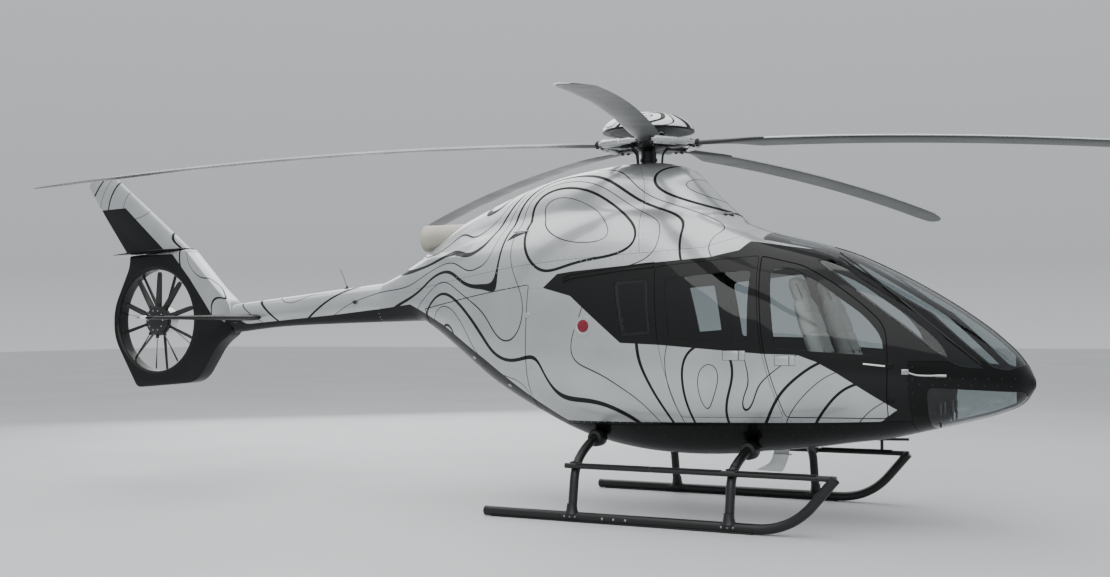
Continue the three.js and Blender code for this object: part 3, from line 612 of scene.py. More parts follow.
def contour_lines(tree, place, scale):
    """Wandering level lines of a smooth field, in two widths; 1 on a line."""
    flat = node(tree, "ShaderNodeMapping", {"Vector": place, "Scale": (1.0, 0.35, 1.0),
                                            "Location": (3.7, 0.0, 1.3)})
    step = 0.01
    values = []
    for shift in ((0, 0, 0), (step, 0, 0), (0, step, 0), (0, 0, step)):
        moved = node(tree, "ShaderNodeVectorMath", {0: flat.outputs["Vector"], 1: shift}, operation="ADD")
        values.append(node(tree, "ShaderNodeTexNoise", {"Vector": moved.outputs["Vector"], "Scale": scale,
                                                       "Detail": 0.0, "Distortion": 0.8}).outputs["Fac"])
    slopes = [maths(tree, "DIVIDE", maths(tree, "SUBTRACT", value, values[0]), step) for value in values[1:]]
    vector = node(tree, "ShaderNodeCombineXYZ", {"X": slopes[0], "Y": slopes[1], "Z": slopes[2]})
    length = node(tree, "ShaderNodeVectorMath", {0: vector.outputs["Vector"]}, operation="LENGTH")
    steepness = maths(tree, "MAXIMUM", length.outputs["Value"], 0.12)
    lines = []
    for spacing, start, half_line in ((0.13, 0.0, 0.011), (0.13, 0.065, 0.0035)):
        level = maths(tree, "DIVIDE", maths(tree, "ADD", values[0], start), spacing)
        off = maths(tree, "ABSOLUTE", maths(tree, "SUBTRACT", maths(tree, "FRACT", level), 0.5))
        reach = maths(tree, "DIVIDE", maths(tree, "MULTIPLY", off, spacing), steepness)
        lines.append(over(tree, half_line, reach, 0.0012))
    return maths(tree, "MAXIMUM", *lines)


def lacquer(name, tones, metallic, lower=None, band=False, line_scale=None):
    """Base coat under clear lacquer, with black borders and contour lines painted under the same lacquer.

    A metallic base has fine flake: it is bright, with soft reflections under the lacquer's sharp ones.
    """
    material, tree, shader, place = new_material(name)
    colour = mottled(tree, place, *tones, 2.0, 2.0)[0]
    # Flakes are tens of micrometres; drawn about a millimetre so that they glint at all
    flakes = node(tree, "ShaderNodeTexNoise", {"Vector": place, "Scale": 900.0, "Detail": 1.0}).outputs["Fac"]
    split = node(tree, "ShaderNodeSeparateXYZ", {"Vector": place})
    x, z = split.outputs["X"], split.outputs["Z"]
    black = []
    if line_scale:
        black.append(contour_lines(tree, place, line_scale))
    if lower:
        low, high = min(h for s, h in lower) - 100, max(h for s, h in lower) + 100
        painted = over(tree, z, border(tree, x, lower, low, high))
        if band:
            above = over(tree, z, border(tree, x, BAND_TOP, 1900, 3000))
            under = over(tree, border(tree, x, BAND_BOTTOM, 900, 2150), z)
            behind_tip = over(tree, BAND_BOTTOM[-1][0] / 1000 + MAST_X, x)
            painted = maths(tree, "MULTIPLY", painted, maths(tree, "MULTIPLY", under, behind_tip))
            painted = maths(tree, "MAXIMUM", above, painted)
        black.append(maths(tree, "SUBTRACT", 1.0, painted))
    metal, rough, coat = metallic, 0.3, 1.0
    if black:
        mask = black[0] if len(black) == 1 else maths(tree, "MAXIMUM", *black)
        mix = node(tree, "ShaderNodeMix", {"Factor": mask}, data_type="RGBA")
        tree.links.new(colour, mix.inputs["A"])
        mix.inputs["B"].default_value = linear("#050506")
        colour = mix.outputs["Result"]
        metal = maths(tree, "MULTIPLY", maths(tree, "SUBTRACT", 1.0, mask), metallic)
        rough = maths(tree, "MULTIPLY_ADD", mask, 0.3, 0.3)
        coat = maths(tree, "MULTIPLY_ADD", mask, -0.7, 1.0)
    feed(tree, shader, Base_Color=colour, Metallic=metal, Roughness=rough, Coat_Weight=coat,
         Coat_Roughness=0.03, Specular_IOR_Level=0.2, Normal=bumped(tree, flakes, 0.04, 0.0002))
    return material


def black_lacquer():
    """Black composite under clear lacquer: deep, with mirror-like reflections."""
    return simple("black lacquer on composite", "#030303", "#050506", 3.0, 0.5, 0.05, bump=0.02,
                  Coat_Weight=0.3, Coat_Roughness=0.02, Specular_IOR_Level=0.1)


def acrylic():
    """Stretched acrylic glazing with a light grey tint: clear, with sharp reflections."""
    material, tree, shader, place = new_material("grey tinted acrylic")
    haze = node(tree, "ShaderNodeTexNoise", {"Vector": place, "Scale": 3.0, "Detail": 2.0}).outputs["Fac"]
    rough = node(tree, "ShaderNodeMapRange", {"Value": haze, "To Min": 0.008,
                                              "To Max": 0.03}).outputs["Result"]
    clear = node(tree, "ShaderNodeBsdfTransparent", {"Color": linear("#dfe3e4")})
    mirror = node(tree, "ShaderNodeBsdfGlossy", {"Color": linear("#ffffff"), "Roughness": rough})
    # A ray leaving the pane isn't bent here, so only the face that it enters by reflects
    entering = maths(tree, "SUBTRACT", 1.0, node(tree, "ShaderNodeNewGeometry").outputs["Backfacing"])
    share = maths(tree, "MULTIPLY", node(tree, "ShaderNodeFresnel", {"IOR": 1.5}).outputs["Fac"], entering)
    mix = node(tree, "ShaderNodeMixShader", {0: share, 1: clear.outputs[0], 2: mirror.outputs[0]})
    tree.links.new(mix.outputs[0], tree.nodes["Material Output"].inputs["Surface"])
    tree.nodes.remove(shader)
    return material


SILVER_TONES = ("#b4b7b8", "#bec1c2")
SILVER = lacquer("silver metallic lacquer with contour lines", SILVER_TONES, 0.6, LOWER_LINE, True, 0.62)
TAIL_PAINT = lacquer("silver and black lacquer on the shroud", SILVER_TONES, 0.6, DUCT_LINE, line_scale=0.62)
FIN_SILVER = lacquer("silver and black lacquer on the fin", SILVER_TONES, 0.6, FIN_LINE, line_scale=0.5)
PLAIN_SILVER = lacquer("plain silver metallic lacquer", SILVER_TONES, 0.6)
CAP_PAINT = lacquer("white enamel with black lines", ("#dfe1e2", "#eef0f0"), 0.0, line_scale=1.6)
BLACK = black_lacquer()
GLASS = acrylic()
# Enamel on small composite fittings: white and glossy
WHITE = simple("white enamel on composite", "#dfe1e2", "#eef0f0", 5.0, 0.25, bump=0.03, Coat_Weight=0.6)
# Polyurethane paint over glass fibre blades: dark and satin
BLADE = simple("satin grey blade paint", "#2c2e2f", "#333537", 3.0, 0.36, 0.08, bump=0.02)
# Polished nickel strip on the leading edge: bright and smooth
NICKEL = simple("nickel erosion strip", "#c8caca", "#d8dad9", 3.0, 0.34, 0.08, metallic=0.7, bump=0.01)
# Powder coat on steel tube: black, satin and faintly pebbled
BLACK_STEEL = simple("black powder coated steel", "#0c0d0d", "#151616", 160.0, 0.38, 0.1, bump=0.25,
                     depth=0.0003)
# Anodised forgings of the rotor head: black and half metallic
HEAD_METAL = simple("black anodised rotor head", "#101112", "#1b1c1d", 30.0, 0.4, 0.12, metallic=0.4,
                    bump=0.1)
# Clear anodised cylinders: pale metal with a soft sheen
DAMPER = simple("satin clear anodised aluminium", "#b4b6b6", "#c9cbca", 40.0, 0.32, 0.1, metallic=0.85,
                bump=0.1)
# Milled and left bare: grey metal, a little dull
ALUMINIUM = simple("bare milled aluminium", "#9a9c9c", "#b2b4b3", 60.0, 0.35, 0.1, metallic=1.0, bump=0.1)
# Exhaust steel tinted by heat: dull, beige grey, streaked
EXHAUST = simple("heat tinted exhaust steel", "#aaa69c", "#bab6ab", 4.0, 0.5, 0.12, metallic=0.3, bump=0.04)
# Plated screw heads: darker than the paint round them, so that a row reads as dots
SCREW_SILVER = simple("cadmium plated screws", "#85898b", "#a0a4a5", 90.0, 0.4, 0.1, metallic=0.9, bump=0.05)
# Enamel on the filler cap: deep crimson, half glossy
RED = simple("red enamel cap", "#6f0f25", "#86142c", 30.0, 0.35, 0.1, bump=0.05)
# Woven straps: dull grey. Threads of about half a millimetre are drawn at 1.4 mm so that they show
WEBBING = simple("woven polyester webbing", "#5a5c5f", "#6d6f72", 700.0, 0.85, 0.05, bump=0.6, depth=0.0008)
# Black rubber, as on extruded seals and the step treads: soft and unpolished. The same black is painted shade
# in the handles' gaps and the cowling's openings
RUBBER_AND_OPENING_SHADE = simple("black rubber and painted shade in gaps and openings", "#0a0a0b", "#121213", 200.0, 0.6, 0.1, bump=0.2)
# Cloth-faced panels: dark grey, darkened as painted shade so that the cabin reads deep behind its glass
LINING_DARKENED_AS_SHADE = simple("cloth cabin lining darkened as painted shade", "#202226", "#26282c", 60.0, 0.8, 0.1, bump=0.08, depth=0.0006)
# Looped pile of about 2.4 mm: rough, with no shine
CARPET = simple("looped grey carpet", "#3a3c3f", "#505357", 420.0, 0.95, 0.05, bump=0.9, depth=0.002)
# Moulded ABS with a fine grain: mid grey, faintly shiny. Under the rotor dome the same grey is painted shade
GREY_TRIM_AND_DOME_SHADE = simple("moulded grey cabin plastic", "#55585b", "#606366", 300.0, 0.55, 0.1, bump=0.3, depth=0.0004)
# Moulded panel and housings: black and without glare
PANEL = simple("matt black instrument plastic", "#0d0e0f", "#161718", 90.0, 0.6, 0.1, bump=0.06, depth=0.0003)


def seat_leather():
    """Pale grey corrected-grain cowhide: soft sheen, with pebbles about 1.5 mm across drawn at 4 mm."""
    material, tree, shader, place = new_material("pale grey seat leather")
    colour = mottled(tree, place, "#cbc7be", "#dad6ce", 7.0)[0]
    pebbles = node(tree, "ShaderNodeTexVoronoi", {"Vector": place, "Scale": 250.0}).outputs["Distance"]
    feed(tree, shader, Base_Color=colour, Roughness=0.5, Sheen_Weight=0.15,
         Normal=bumped(tree, pebbles, 0.35, 0.001))
    return material


LEATHER = seat_leather()


# Cabin skins
def both_sides(corners, distance=0.0):
    return [side_prism(corners, distance, sign) for side, sign in SIDES]


def both_clamshells(gap):
    return [clamshell_prism(sign, gap) for side, sign in SIDES]


def cowling_cover(distance=0):
    line = [(x, z - distance) for x, z in COWLING_SEAM]
    return straight(line + [(1165 + 2 * distance, 3400), (-2475 - 2 * distance, 3400)])


def belly_region(distance=0):
    (x0, z0), (x1, z1), (x2, z2) = BELLY_JOINT
    return straight([(x0 - distance, z0 + distance), (x1, z1 + distance), (x2 + 1200, z2 + 36 + distance),
                     (x2 + 1200, 200), (x0 - distance, 200)])


def clamshell_prism(sign, gap):
    line = rounded(grown(CLAMSHELL, gap) if gap else CLAMSHELL)
    inner = (KEEL_HALF_WIDTH - gap) / 1000
    near, far = sorted((sign * inner, sign * SIDE_REACH))
    return prism(line, near, far)


skin = hull_solid("cabin_skin", 0, SKIN)
tools = [t for outline in (SLIDING_DOOR, FRONT_DOOR, REAR_WINDOW, QUARTER_GLASS) for t in both_sides(outline)]
tools += both_sides(WINDSCREEN) + both_clamshells(0)
tools += [through(cowling_cover()), through(belly_region(PANEL_GAP))]
tools += [through(straight([(NOSE_SPLIT, NOSE_TOP), (3700, NOSE_TOP), (3700, 200), (NOSE_SPLIT, 200)]))]
cut(skin, *tools)
drop(*tools)
finish_piece(skin, "cabin_skin", SILVER)
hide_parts("cabin_side_starboard", "cabin_side_port", "rear_hull")

lining = hull_solid("cabin_lining", SKIN + 2, WALL, CABIN_HOLLOW_REAR, step=60, facets=96)
tools = [t for outline in (SLIDING_DOOR, FRONT_DOOR, REAR_WINDOW) for t in both_sides(outline, -LINING_EDGE)]
tools += both_sides(QUARTER_GLASS, -8) + both_sides(WINDSCREEN, -8)
tools += both_sides(CHIN_WINDOW, 4) + both_clamshells(-LINING_EDGE)
tools += [through(cowling_cover(-120))]
cut(lining, *tools)
drop(*tools)
finish_piece(lining, "cabin_lining", LINING_DARKENED_AS_SHADE)

belly = hull_solid("belly_skin", 0, SKIN)
belly_tool = through(straight(BELLY_JOINT[:2] + [(NOSE_SPLIT - PANEL_GAP, 905), (NOSE_SPLIT - PANEL_GAP, 200),
                                                 (BELLY_JOINT[0][0], 200)]))
cut(belly, belly_tool, operation="INTERSECT")
drop(belly_tool)
finish_piece(belly, "belly_skin", BLACK)
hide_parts("belly_fairing")

nose = hull_solid("nose_skin", 0, SKIN)
nose_tool = through(straight([(NOSE_SPLIT, 200), (NOSE_SPLIT, NOSE_TOP - 3), (3700, NOSE_TOP - 3),
                              (3700, 200)]))
cut(nose, nose_tool, operation="INTERSECT")
windows = both_sides(CHIN_WINDOW) + both_sides(QUARTER_GLASS) + both_sides(WINDSCREEN)
cut(nose, *windows)
drop(nose_tool, *windows)
finish_piece(nose, "nose_skin", BLACK)
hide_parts("nose_fairing")


# Cowlings
def cowlings():
    cover = closed_piece("cowling", cowling_rings(0))
    inner = closed_piece("inner", cowling_rings(COWLING_WALL))
    seam_tool = through(cowling_cover(-3), COWLING_REACH)
    mast_hole = turned([(0, 0), (0.115, 0), (0.115, 0.6), (0, 0.6)], (MAST_X, 0, 2.9))
    exhaust_hole = turned([(0, 0), (0.145, 0), (0.145, 1.1), (0, 1.1)], (-1.8, 0, EXHAUST_Z), axis="X")
    cut(cover, seam_tool, operation="INTERSECT")
    cut(cover, inner, mast_hole, exhaust_hole)
    ahead = [(1400, 2250), (1400, 3400)]
    front_tool = through(straight(COWLING_JOINT + ahead), COWLING_REACH)
    rear_tool = through(straight([(x - PANEL_GAP, z) for x, z in COWLING_JOINT] + ahead), COWLING_REACH)
    rear = copy_of(cover, "cowling_aft_skin")
    cut(cover, front_tool, operation="INTERSECT")
    cut(rear, rear_tool)
    drop(inner, seam_tool, mast_hole, exhaust_hole, front_tool, rear_tool)
    finish_piece(cover, "cowling_forward_skin", SILVER)
    finish_piece(rear, "cowling_aft_skin", SILVER)
    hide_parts("cowling_forward")
    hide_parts("cowling_aft")


cowlings()


# Doors and windows, made to starboard and mirrored to port
def pair(piece, name, material, bodies=("airframe", "airframe"), replaced=None):
    port = mirrored(piece, f"{name}_port")
    for part, (side, sign), body in zip((piece, port), SIDES, bodies):
        finish_piece(part, f"{name}_{side}_made", material, body)
        if replaced:
            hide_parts(f"{replaced}_{side}")


def door_bodies(name):
    return tuple(f"{name}_{side}" for side, sign in SIDES)


def door_skin(name, outline, glass, gap):
    leaf = hull_patch(name, outline, 0, SKIN)
    tool, hole = side_prism(outline, -gap), side_prism(glass)
    cut(leaf, tool, operation="INTERSECT")
    cut(leaf, hole)
    drop(tool)
    inner = hull_patch(name, outline, SKIN + 0.5, WALL - 2)
    tool, wider = side_prism(outline, -LINING_EDGE - gap), side_prism(glass, 18)
    cut(inner, tool, operation="INTERSECT")
    cut(inner, wider)
    drop(tool, hole, wider)
    return leaf, inner


def pane(name, outline):
    glass = hull_patch(name, outline, GLASS_DEPTH, GLASS_DEPTH + GLASS_THICKNESS)
    tool = side_prism(outline, -1)
    cut(glass, tool, operation="INTERSECT")
    drop(tool)
    return glass


cockpit = door_bodies("cockpit_door")
fixed = ("airframe", "airframe")
for name, outline, glass, gap, bodies in (("front_door", FRONT_DOOR, FRONT_GLASS, DOOR_GAP, cockpit),
                                          ("sliding_door", SLIDING_DOOR, SLIDING_GLASS, PANEL_GAP, fixed)):
    leaf, inner = door_skin(name, outline, glass, gap)
    pair(leaf, name, SILVER, bodies, name)
    pair(inner, f"{name}_lining", LINING_DARKENED_AS_SHADE, bodies)
    pair(pane(f"{name}_window", glass), f"{name}_window", GLASS, bodies, f"{name}_window")
for name, outline in (("windscreen", WINDSCREEN), ("front_quarter_window", QUARTER_GLASS),
                      ("chin_window", CHIN_WINDOW), ("rear_window", REAR_WINDOW)):
    pair(pane(name, outline), name, GLASS, fixed, name)

clam = hull_patch("clamshell_door", CLAMSHELL, 0, 16)
rear_limit = straight([(CLAMSHELL_REAR, 500), (CLAMSHELL_REAR, 2500), (0, 2500), (0, 500)])
tools = [clamshell_prism(-1, -DOOR_GAP), prism(rear_limit, -FULL_REACH, 0)]
cut(clam, *tools, operation="INTERSECT")
drop(*tools)
pair(clam, "clamshell_door", SILVER, door_bodies("baggage_door"), "clamshell_door")


# Places on the starboard skin
def on_skin(x, z, cowling=False, out=0.0):
    """A frame on the starboard skin: X forward along it, Y into it and Z up along it."""
    def spot(x, z):
        reach = upper_half_width(x, z, 0) / 1000 if cowling else half_width(x / 1000 + MAST_X, z / 1000)
        return Vector((x / 1000 + MAST_X, -reach, z / 1000))

    along = (spot(x + 15, z) - spot(x - 15, z)).normalized()
    inward = (spot(x, z + 15) - spot(x, z - 15)).cross(along).normalized()
    turn = Matrix((along, inward, along.cross(inward))).transposed().to_4x4()
    return Matrix.Translation(spot(x, z) - inward * out) @ turn


def seated(piece, x, z, cowling=False):
    piece.data.transform(on_skin(x, z, cowling))
    return piece


def spaced(line, spacing):
    """Points at an even spacing along a chain of points."""
    places = [Vector(line[0])]
    for start, end in zip(line, line[1:]):
        start, end = Vector(start), Vector(end)
        count = max(round((end - start).length / spacing), 1)
        places += [start.lerp(end, k / count) for k in range(1, count + 1)]
    return places


def scattered(name, form, frames):
    """One mesh of many copies of a small form."""
    corners = [v.co.copy() for v in form.data.vertices]
    rings = [tuple(face.vertices) for face in form.data.polygons]
    drop(form)
    points, faces = [], []
    for turn in frames:
        first = len(points)
        points += [turn @ corner for corner in corners]
        faces += [tuple(first + i for i in ring) for ring in rings]
    return mesh_piece(name, points, faces)


def screw_head(radius=0.0055, rise=0.0018):
    """A flush screw's domed head, drawn at 11 mm so that the rows show; it stands out along -Y."""
    profile = [(0, rise), (0.6 * radius, 0.8 * rise), (radius, 0), (radius, -0.002), (0, -0.002)]
    head = turned(profile, steps=8)
    head.data.transform(Matrix.Rotation(math.pi / 2, 4, "X"))
    return head


def foil():
    """Share along the chord and share of the half thickness, for a rounded nose and a thin tail."""
    points = 11
    shares = []
    for k in range(points):
        t = 0.5 - 0.5 * math.cos(math.pi * k / (points - 1))
        thick = 10 * (0.2969 * t ** 0.5 - 0.126 * t - 0.3516 * t ** 2 + 0.2843 * t ** 3 - 0.1015 * t ** 4)
        shares.append((t, max(thick, 0.06)))
    return shares


def foil_ring(front, rear, half, place):
    """A closed ring round a foil; place turns (chordwise, thick) in mm into a point."""
    side = [(front + (rear - front) * t, half * share) for t, share in foil()]
    under = [(along, -thick) for along, thick in reversed(side)]
    return [place(along, thick) for along, thick in side + under]


def moved_to(piece, x, y, z):
    piece.data.transform(Matrix.Translation(row_point(x, y, z)))
    return piece


# Tail
# x, centre height, half height, half width
BOOM = [(-5150, 1797, 160, 100), (-4448, 1863, 158, 112), (-3582, 1921, 184, 122), (-3024, 1953, 203, 131)]
DUCT = [(-5085, 1965, 100), (-5290, 2130, 120), (-5820, 2650, 0), (-6640, 2650, 0), (-6650, 2420, 80),
        (-6905, 1930, 200), (-6900, 1590, 150), (-6530, 1012, 60), (-5600, 1085, 160), (-5290, 1510, 150),
        (-5085, 1640, 60)]
DUCT_LIP = 24
# height, leading edge, trailing edge, half thickness
FIN = [(2560, -5719, -6762, 60), (3000, -6303, -7112, 46), (3400, -6848, -7411, 30), (3462, -6935, -7380, 16)]
# y, leading edge, trailing edge, half thickness
STABILIZER = [(-1320, -5030, -5300, 10), (-1290, -4980, -5320, 17), (-100, -4640, -5250, 36),
              (100, -4640, -5250, 36), (1290, -4980, -5320, 17), (1320, -5030, -5300, 10)]
STABILIZER_Z = 1812
FIN_PLATE = [(-260, -6200, -6720, 8), (-230, -6080, -6780, 12), (-70, -5780, -6865, 14),
             (70, -5780, -6865, 14), (230, -6080, -6780, 12), (260, -6200, -6720, 8)]
FIN_PLATE_TILT = 0.06


def fin_plate_z(x):
    return 2578 + (x + 6320) * FIN_PLATE_TILT


def straight_reading(table, value):
    """A row of a table at a value between its rows, on straight lines."""
    i = max(min(sum(1 for row in table if row[0] <= value) - 1, len(table) - 2), 0)
    share = (value - table[i][0]) / (table[i + 1][0] - table[i][0])
    return [a + (b - a) * share for a, b in zip(table[i], table[i + 1])]


def tail():
    rings = []
    for x in stations(-5150, -3024.3, 60):
        centre, tall, wide = (reading(BOOM, x, column) for column in (1, 2, 3))
        rings.append([row_point(x, wide * math.cos(a), centre + tall * math.sin(a))
                      for a in (2 * math.pi * k / 56 for k in range(56))])
    boom = closed_piece("boom", rings)
    finish_piece(boom, "tail_boom_skin", SILVER)
    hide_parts("tail_boom")

    shroud = prism(rounded(DUCT, 8), -DUCT_HALF_WIDTH, DUCT_HALF_WIDTH)
    plate_line = straight([(x, fin_plate_z(x) - 15) for x in (-7300, -5300)] + [(-5300, 3000), (-7300, 3000)])
    above = prism(plate_line, -0.4, 0.4)
    cut(shroud, above)
    modify(shroud, "BEVEL", width=0.02, segments=4, limit_method="ANGLE", angle_limit=math.radians(60))
    lip = 2 * DUCT_LIP / 1000
    throat = DUCT_HALF_WIDTH - lip
    wall = [(DUCT_RADIUS + lip * (1 - math.cos(a)), throat + lip * math.sin(a))
            for a in (math.pi / 2 * k / 8 for k in range(9))]
    profile = [(0, -0.11)] + [(wall[-1][0], -0.11)] + [(r, -y) for r, y in reversed(wall)] + wall
    profile += [(wall[-1][0], 0.11), (0, 0.11)]
    hole = turned(profile, FAN, axis="Y", steps=112)
    cut(shroud, hole)
    drop(above, hole)
    finish_piece(shroud, "tail_duct_skin", TAIL_PAINT)
    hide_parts("tail_duct")

    rows = [straight_reading(FIN, z) for z in stations(2560, 3400, 70) + [3425, 3445, 3462]]
    rings = [foil_ring(front, rear, half, lambda along, thick, z=z: row_point(along, thick, z))
             for z, front, rear, half in rows]
    fin = closed_piece("fin", rings)
    finish_piece(fin, "vertical_fin_skin", FIN_SILVER)
    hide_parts("vertical_fin")

    for name, table, height in (("fin_plate", FIN_PLATE, fin_plate_z),
                                ("stabilizer", STABILIZER, lambda x: STABILIZER_Z)):
        rings = [foil_ring(front, rear, half,
                           lambda along, thick, y=y: row_point(along, y, height(along) + thick))
                 for y, front, rear, half in table]
        piece = closed_piece(name, rings)
        finish_piece(piece, f"{name}_skin", BLACK, angle=40)
        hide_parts(name)

    # White light on each tip of the stabilizer
    light = turned([(0, 0.05), (0.012, 0.046), (0.019, 0.034), (0.023, 0.01), (0.023, -0.03), (0.015, -0.05),
                    (0, -0.054)], steps=24)
    light.data.transform(Matrix.Rotation(-math.pi / 2, 4, "Y"))
    moved_to(light, -5185, -1304, STABILIZER_Z)
    pair(light, "stabilizer_light", WHITE)

    # Black ball on a short stem low on the boom, and a whip aerial on its back
    profile = [(0.022 * math.sin(a), -0.022 * math.cos(a)) for a in (math.pi * k / 10 for k in range(11))]
    ball = turned(profile, row_point(-3341, -140, 1962), steps=24)
    stem = pipe([row_point(-3341, -90, 1962), row_point(-3341, -135, 1962)], 0.01, 12)
    finish_piece(joined([ball, stem], "ball"), "boom_lamp", BLACK_STEEL)
    foot = turned([(0, 0.03), (0.008, 0.03), (0.016, 0.006), (0.03, 0), (0.03, -0.02), (0, -0.02)],
                  row_point(-3547, 0, 2108), steps=24)
    whip = pipe([row_point(-3547, 0, 2120), row_point(-3590, 0, 2230), row_point(-3639, 0, 2321)], 0.003, 8)
    finish_piece(joined([foot, whip], "whip"), "whip_aerial", BLACK_STEEL)

    # Screws round the joint of the boom and the hull
    frames = []
    for x, tall, wide in ((-3050, 202, 131), (-2996, 204, 133)):
        for k in range(26):
            angle = 2 * math.pi * (k + 0.5) / 26
            out = Vector((0, math.cos(angle) / wide, math.sin(angle) / tall)).normalized()
            place = Vector(row_point(x, (wide + 0.5) * math.cos(angle),
                                     1953 + (tall + 0.5) * math.sin(angle)))
            along = Vector((1, 0, 0))
            turn = Matrix((along, -out, along.cross(-out))).transposed().to_4x4()
            frames.append(Matrix.Translation(place) @ turn)
    ring = scattered("boom_joint_screws", screw_head(), frames)
    finish_piece(ring, "boom_joint_screws", ALUMINIUM)


# Shrouded fan
FAN_BLADES = 10
FIRST_FAN_BLADE = 0.05
FAN_VANES = 7
FIRST_FAN_VANE = 0.35


def fan_blade(theta, inner, outer, chord, thick, pitches, y):
    """A twisted blade along a radius of the fan, in the row frame."""
    rings = []
    for share in (0, 0.15, 0.4, 0.7, 0.93, 1.0):
        radius = inner + (outer - inner) * share
        pitch = pitches[0] + (pitches[1] - pitches[0]) * share
        width = chord * (1 - 0.28 * share) * (0.7 if share == 1.0 else 1)
        half = thick * (1 - 0.5 * share)

        def place(along, up, radius=radius, pitch=pitch):
            side = along * math.cos(pitch) - up * math.sin(pitch)
            deep = along * math.sin(pitch) + up * math.cos(pitch)
            x = side * math.cos(theta) + radius * math.sin(theta)
            z = -side * math.sin(theta) + radius * math.cos(theta)
            return FAN + Vector((x, y + deep, z))

        rings.append(foil_ring(width / 2, -width / 2, half, place))
    return closed_piece("blade", rings)


def fan():
    hub = turned([(0, -0.036), (0.07, -0.033), (0.13, -0.022), (0.168, 0.0), (0.178, 0.02), (0.178, 0.05),
                  (0, 0.05)], FAN + Vector((0, -0.058, 0)), axis="Y", steps=64)
    plane = -0.036
    angles = [FIRST_FAN_BLADE + 2 * math.pi * k / FAN_BLADES for k in range(FAN_BLADES)]
    blades = [fan_blade(theta, 0.14, 0.56, 0.075, 0.008, (0.95, 0.5), plane) for theta in angles]
    cuffs = []
    for theta in angles:
        out = Vector((math.sin(theta), 0, math.cos(theta)))
        cuffs.append(pipe([FAN + out * reach + Vector((0, plane, 0)) for reach in (0.16, 0.205)], 0.02, 16))
    wheel = joined([hub] + blades + cuffs, "wheel")
    finish_piece(wheel, "tail_fan_wheel", BLACK_STEEL, "tail_rotor")
    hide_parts("tail_fan")
    nuts = scattered("fan_nuts", screw_head(0.009, 0.004), [
        Matrix.Translation(FAN + Vector((0.115 * math.cos(a), -0.0835, 0.115 * math.sin(a))))
        for a in (2 * math.pi * k / FAN_BLADES for k in range(FAN_BLADES))])
    finish_piece(nuts, "tail_fan_nuts", ALUMINIUM, "tail_rotor")

    pitch = math.pi / 2 - 0.12
    vanes = [fan_blade(FIRST_FAN_VANE + 2 * math.pi * k / FAN_VANES, 0.14, 0.597, 0.056, 0.008,
                       (pitch, pitch), 0.052) for k in range(FAN_VANES)]
    ring = joined(vanes, "vanes")
    finish_piece(ring, "tail_fan_vanes", BLACK_STEEL)
    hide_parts("tail_fan_stator")
    pod = turned([(0, 0.008), (0.16, 0.008), (0.16, 0.1), (0.15, 0.135), (0.12, 0.162), (0.07, 0.176),
                  (0, 0.18)], FAN, axis="Y", steps=64)
    finish_piece(pod, "tail_gearbox_pod", DAMPER)


# Main rotor
ROTOR_Z = 3412
BLADE_Z = 3387
# distance from the mast, leading edge, trailing edge, half thickness, pitch in degrees
BLADE_TABLE = [(520, 52, -52, 22, 0), (700, 58, -66, 22, 3), (1040, 92, -198, 19, 8),
               (2200, 92, -198, 18, 7.5), (3800, 92, -198, 17, 6.5), (4900, 92, -198, 15, 6),
               (5120, 84, -198, 12, 6), (5320, 48, -196, 9, 5), (5440, 0, -186, 6, 5),
               (5500, -64, -154, 3, 5)]
BLADE_DROOPS = (433, 433, 433, 445, 363)
ROTOR_RADIUS = 5500
# Share of the chord under the erosion strip, and the ring of the blade where it starts
STRIP_WIDTH = 0.09
STRIP_START = 9


def rotor_turn(angle):
    return Matrix.Translation((MAST_X, 0, BLADE_Z / 1000)) @ Matrix.Rotation(angle, 4, "Z")


def rotor_blades():
    shares = [t for t, thick in foil()]
    count = 2 * len(shares)
    lead = sum(1 for t in shares if t <= STRIP_WIDTH)
    for k, (angle, droop) in enumerate(zip(BLADE_ANGLES, BLADE_DROOPS)):
        rings = []
        for r in stations(520, 1060, 60) + stations(1160, 5060, 130) + stations(5120, 5500, 38):
            front, rear, half, pitch = straight_reading(BLADE_TABLE, r)[1:]
            drop_by = droop * (r / ROTOR_RADIUS) ** 2
            cos, sin = math.cos(math.radians(pitch)), math.sin(math.radians(pitch))

            def place(along, thick, r=r, drop_by=drop_by, cos=cos, sin=sin):
                y = -along
                return Vector((r, y * cos + thick * sin, -drop_by - y * sin + thick * cos)) / 1000

            rings.append(foil_ring(front, rear, half, place))
        blade = closed_piece("blade", rings)
        blade.data.transform(rotor_turn(angle))
        finish_piece(blade, f"rotor_blade_skin_{k + 1}", BLADE, "main_rotor", angle=50)
        blade.data.materials.append(NICKEL)
        for face in blade.data.polygons[:count * (len(rings) - 1)]:
            place_in_ring = face.index % count
            on_edge = place_in_ring < lead - 1 or place_in_ring >= count - lead
            if on_edge and face.index // count > STRIP_START:
                face.material_index = 1
        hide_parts(f"rotor_blade_{k + 1}")


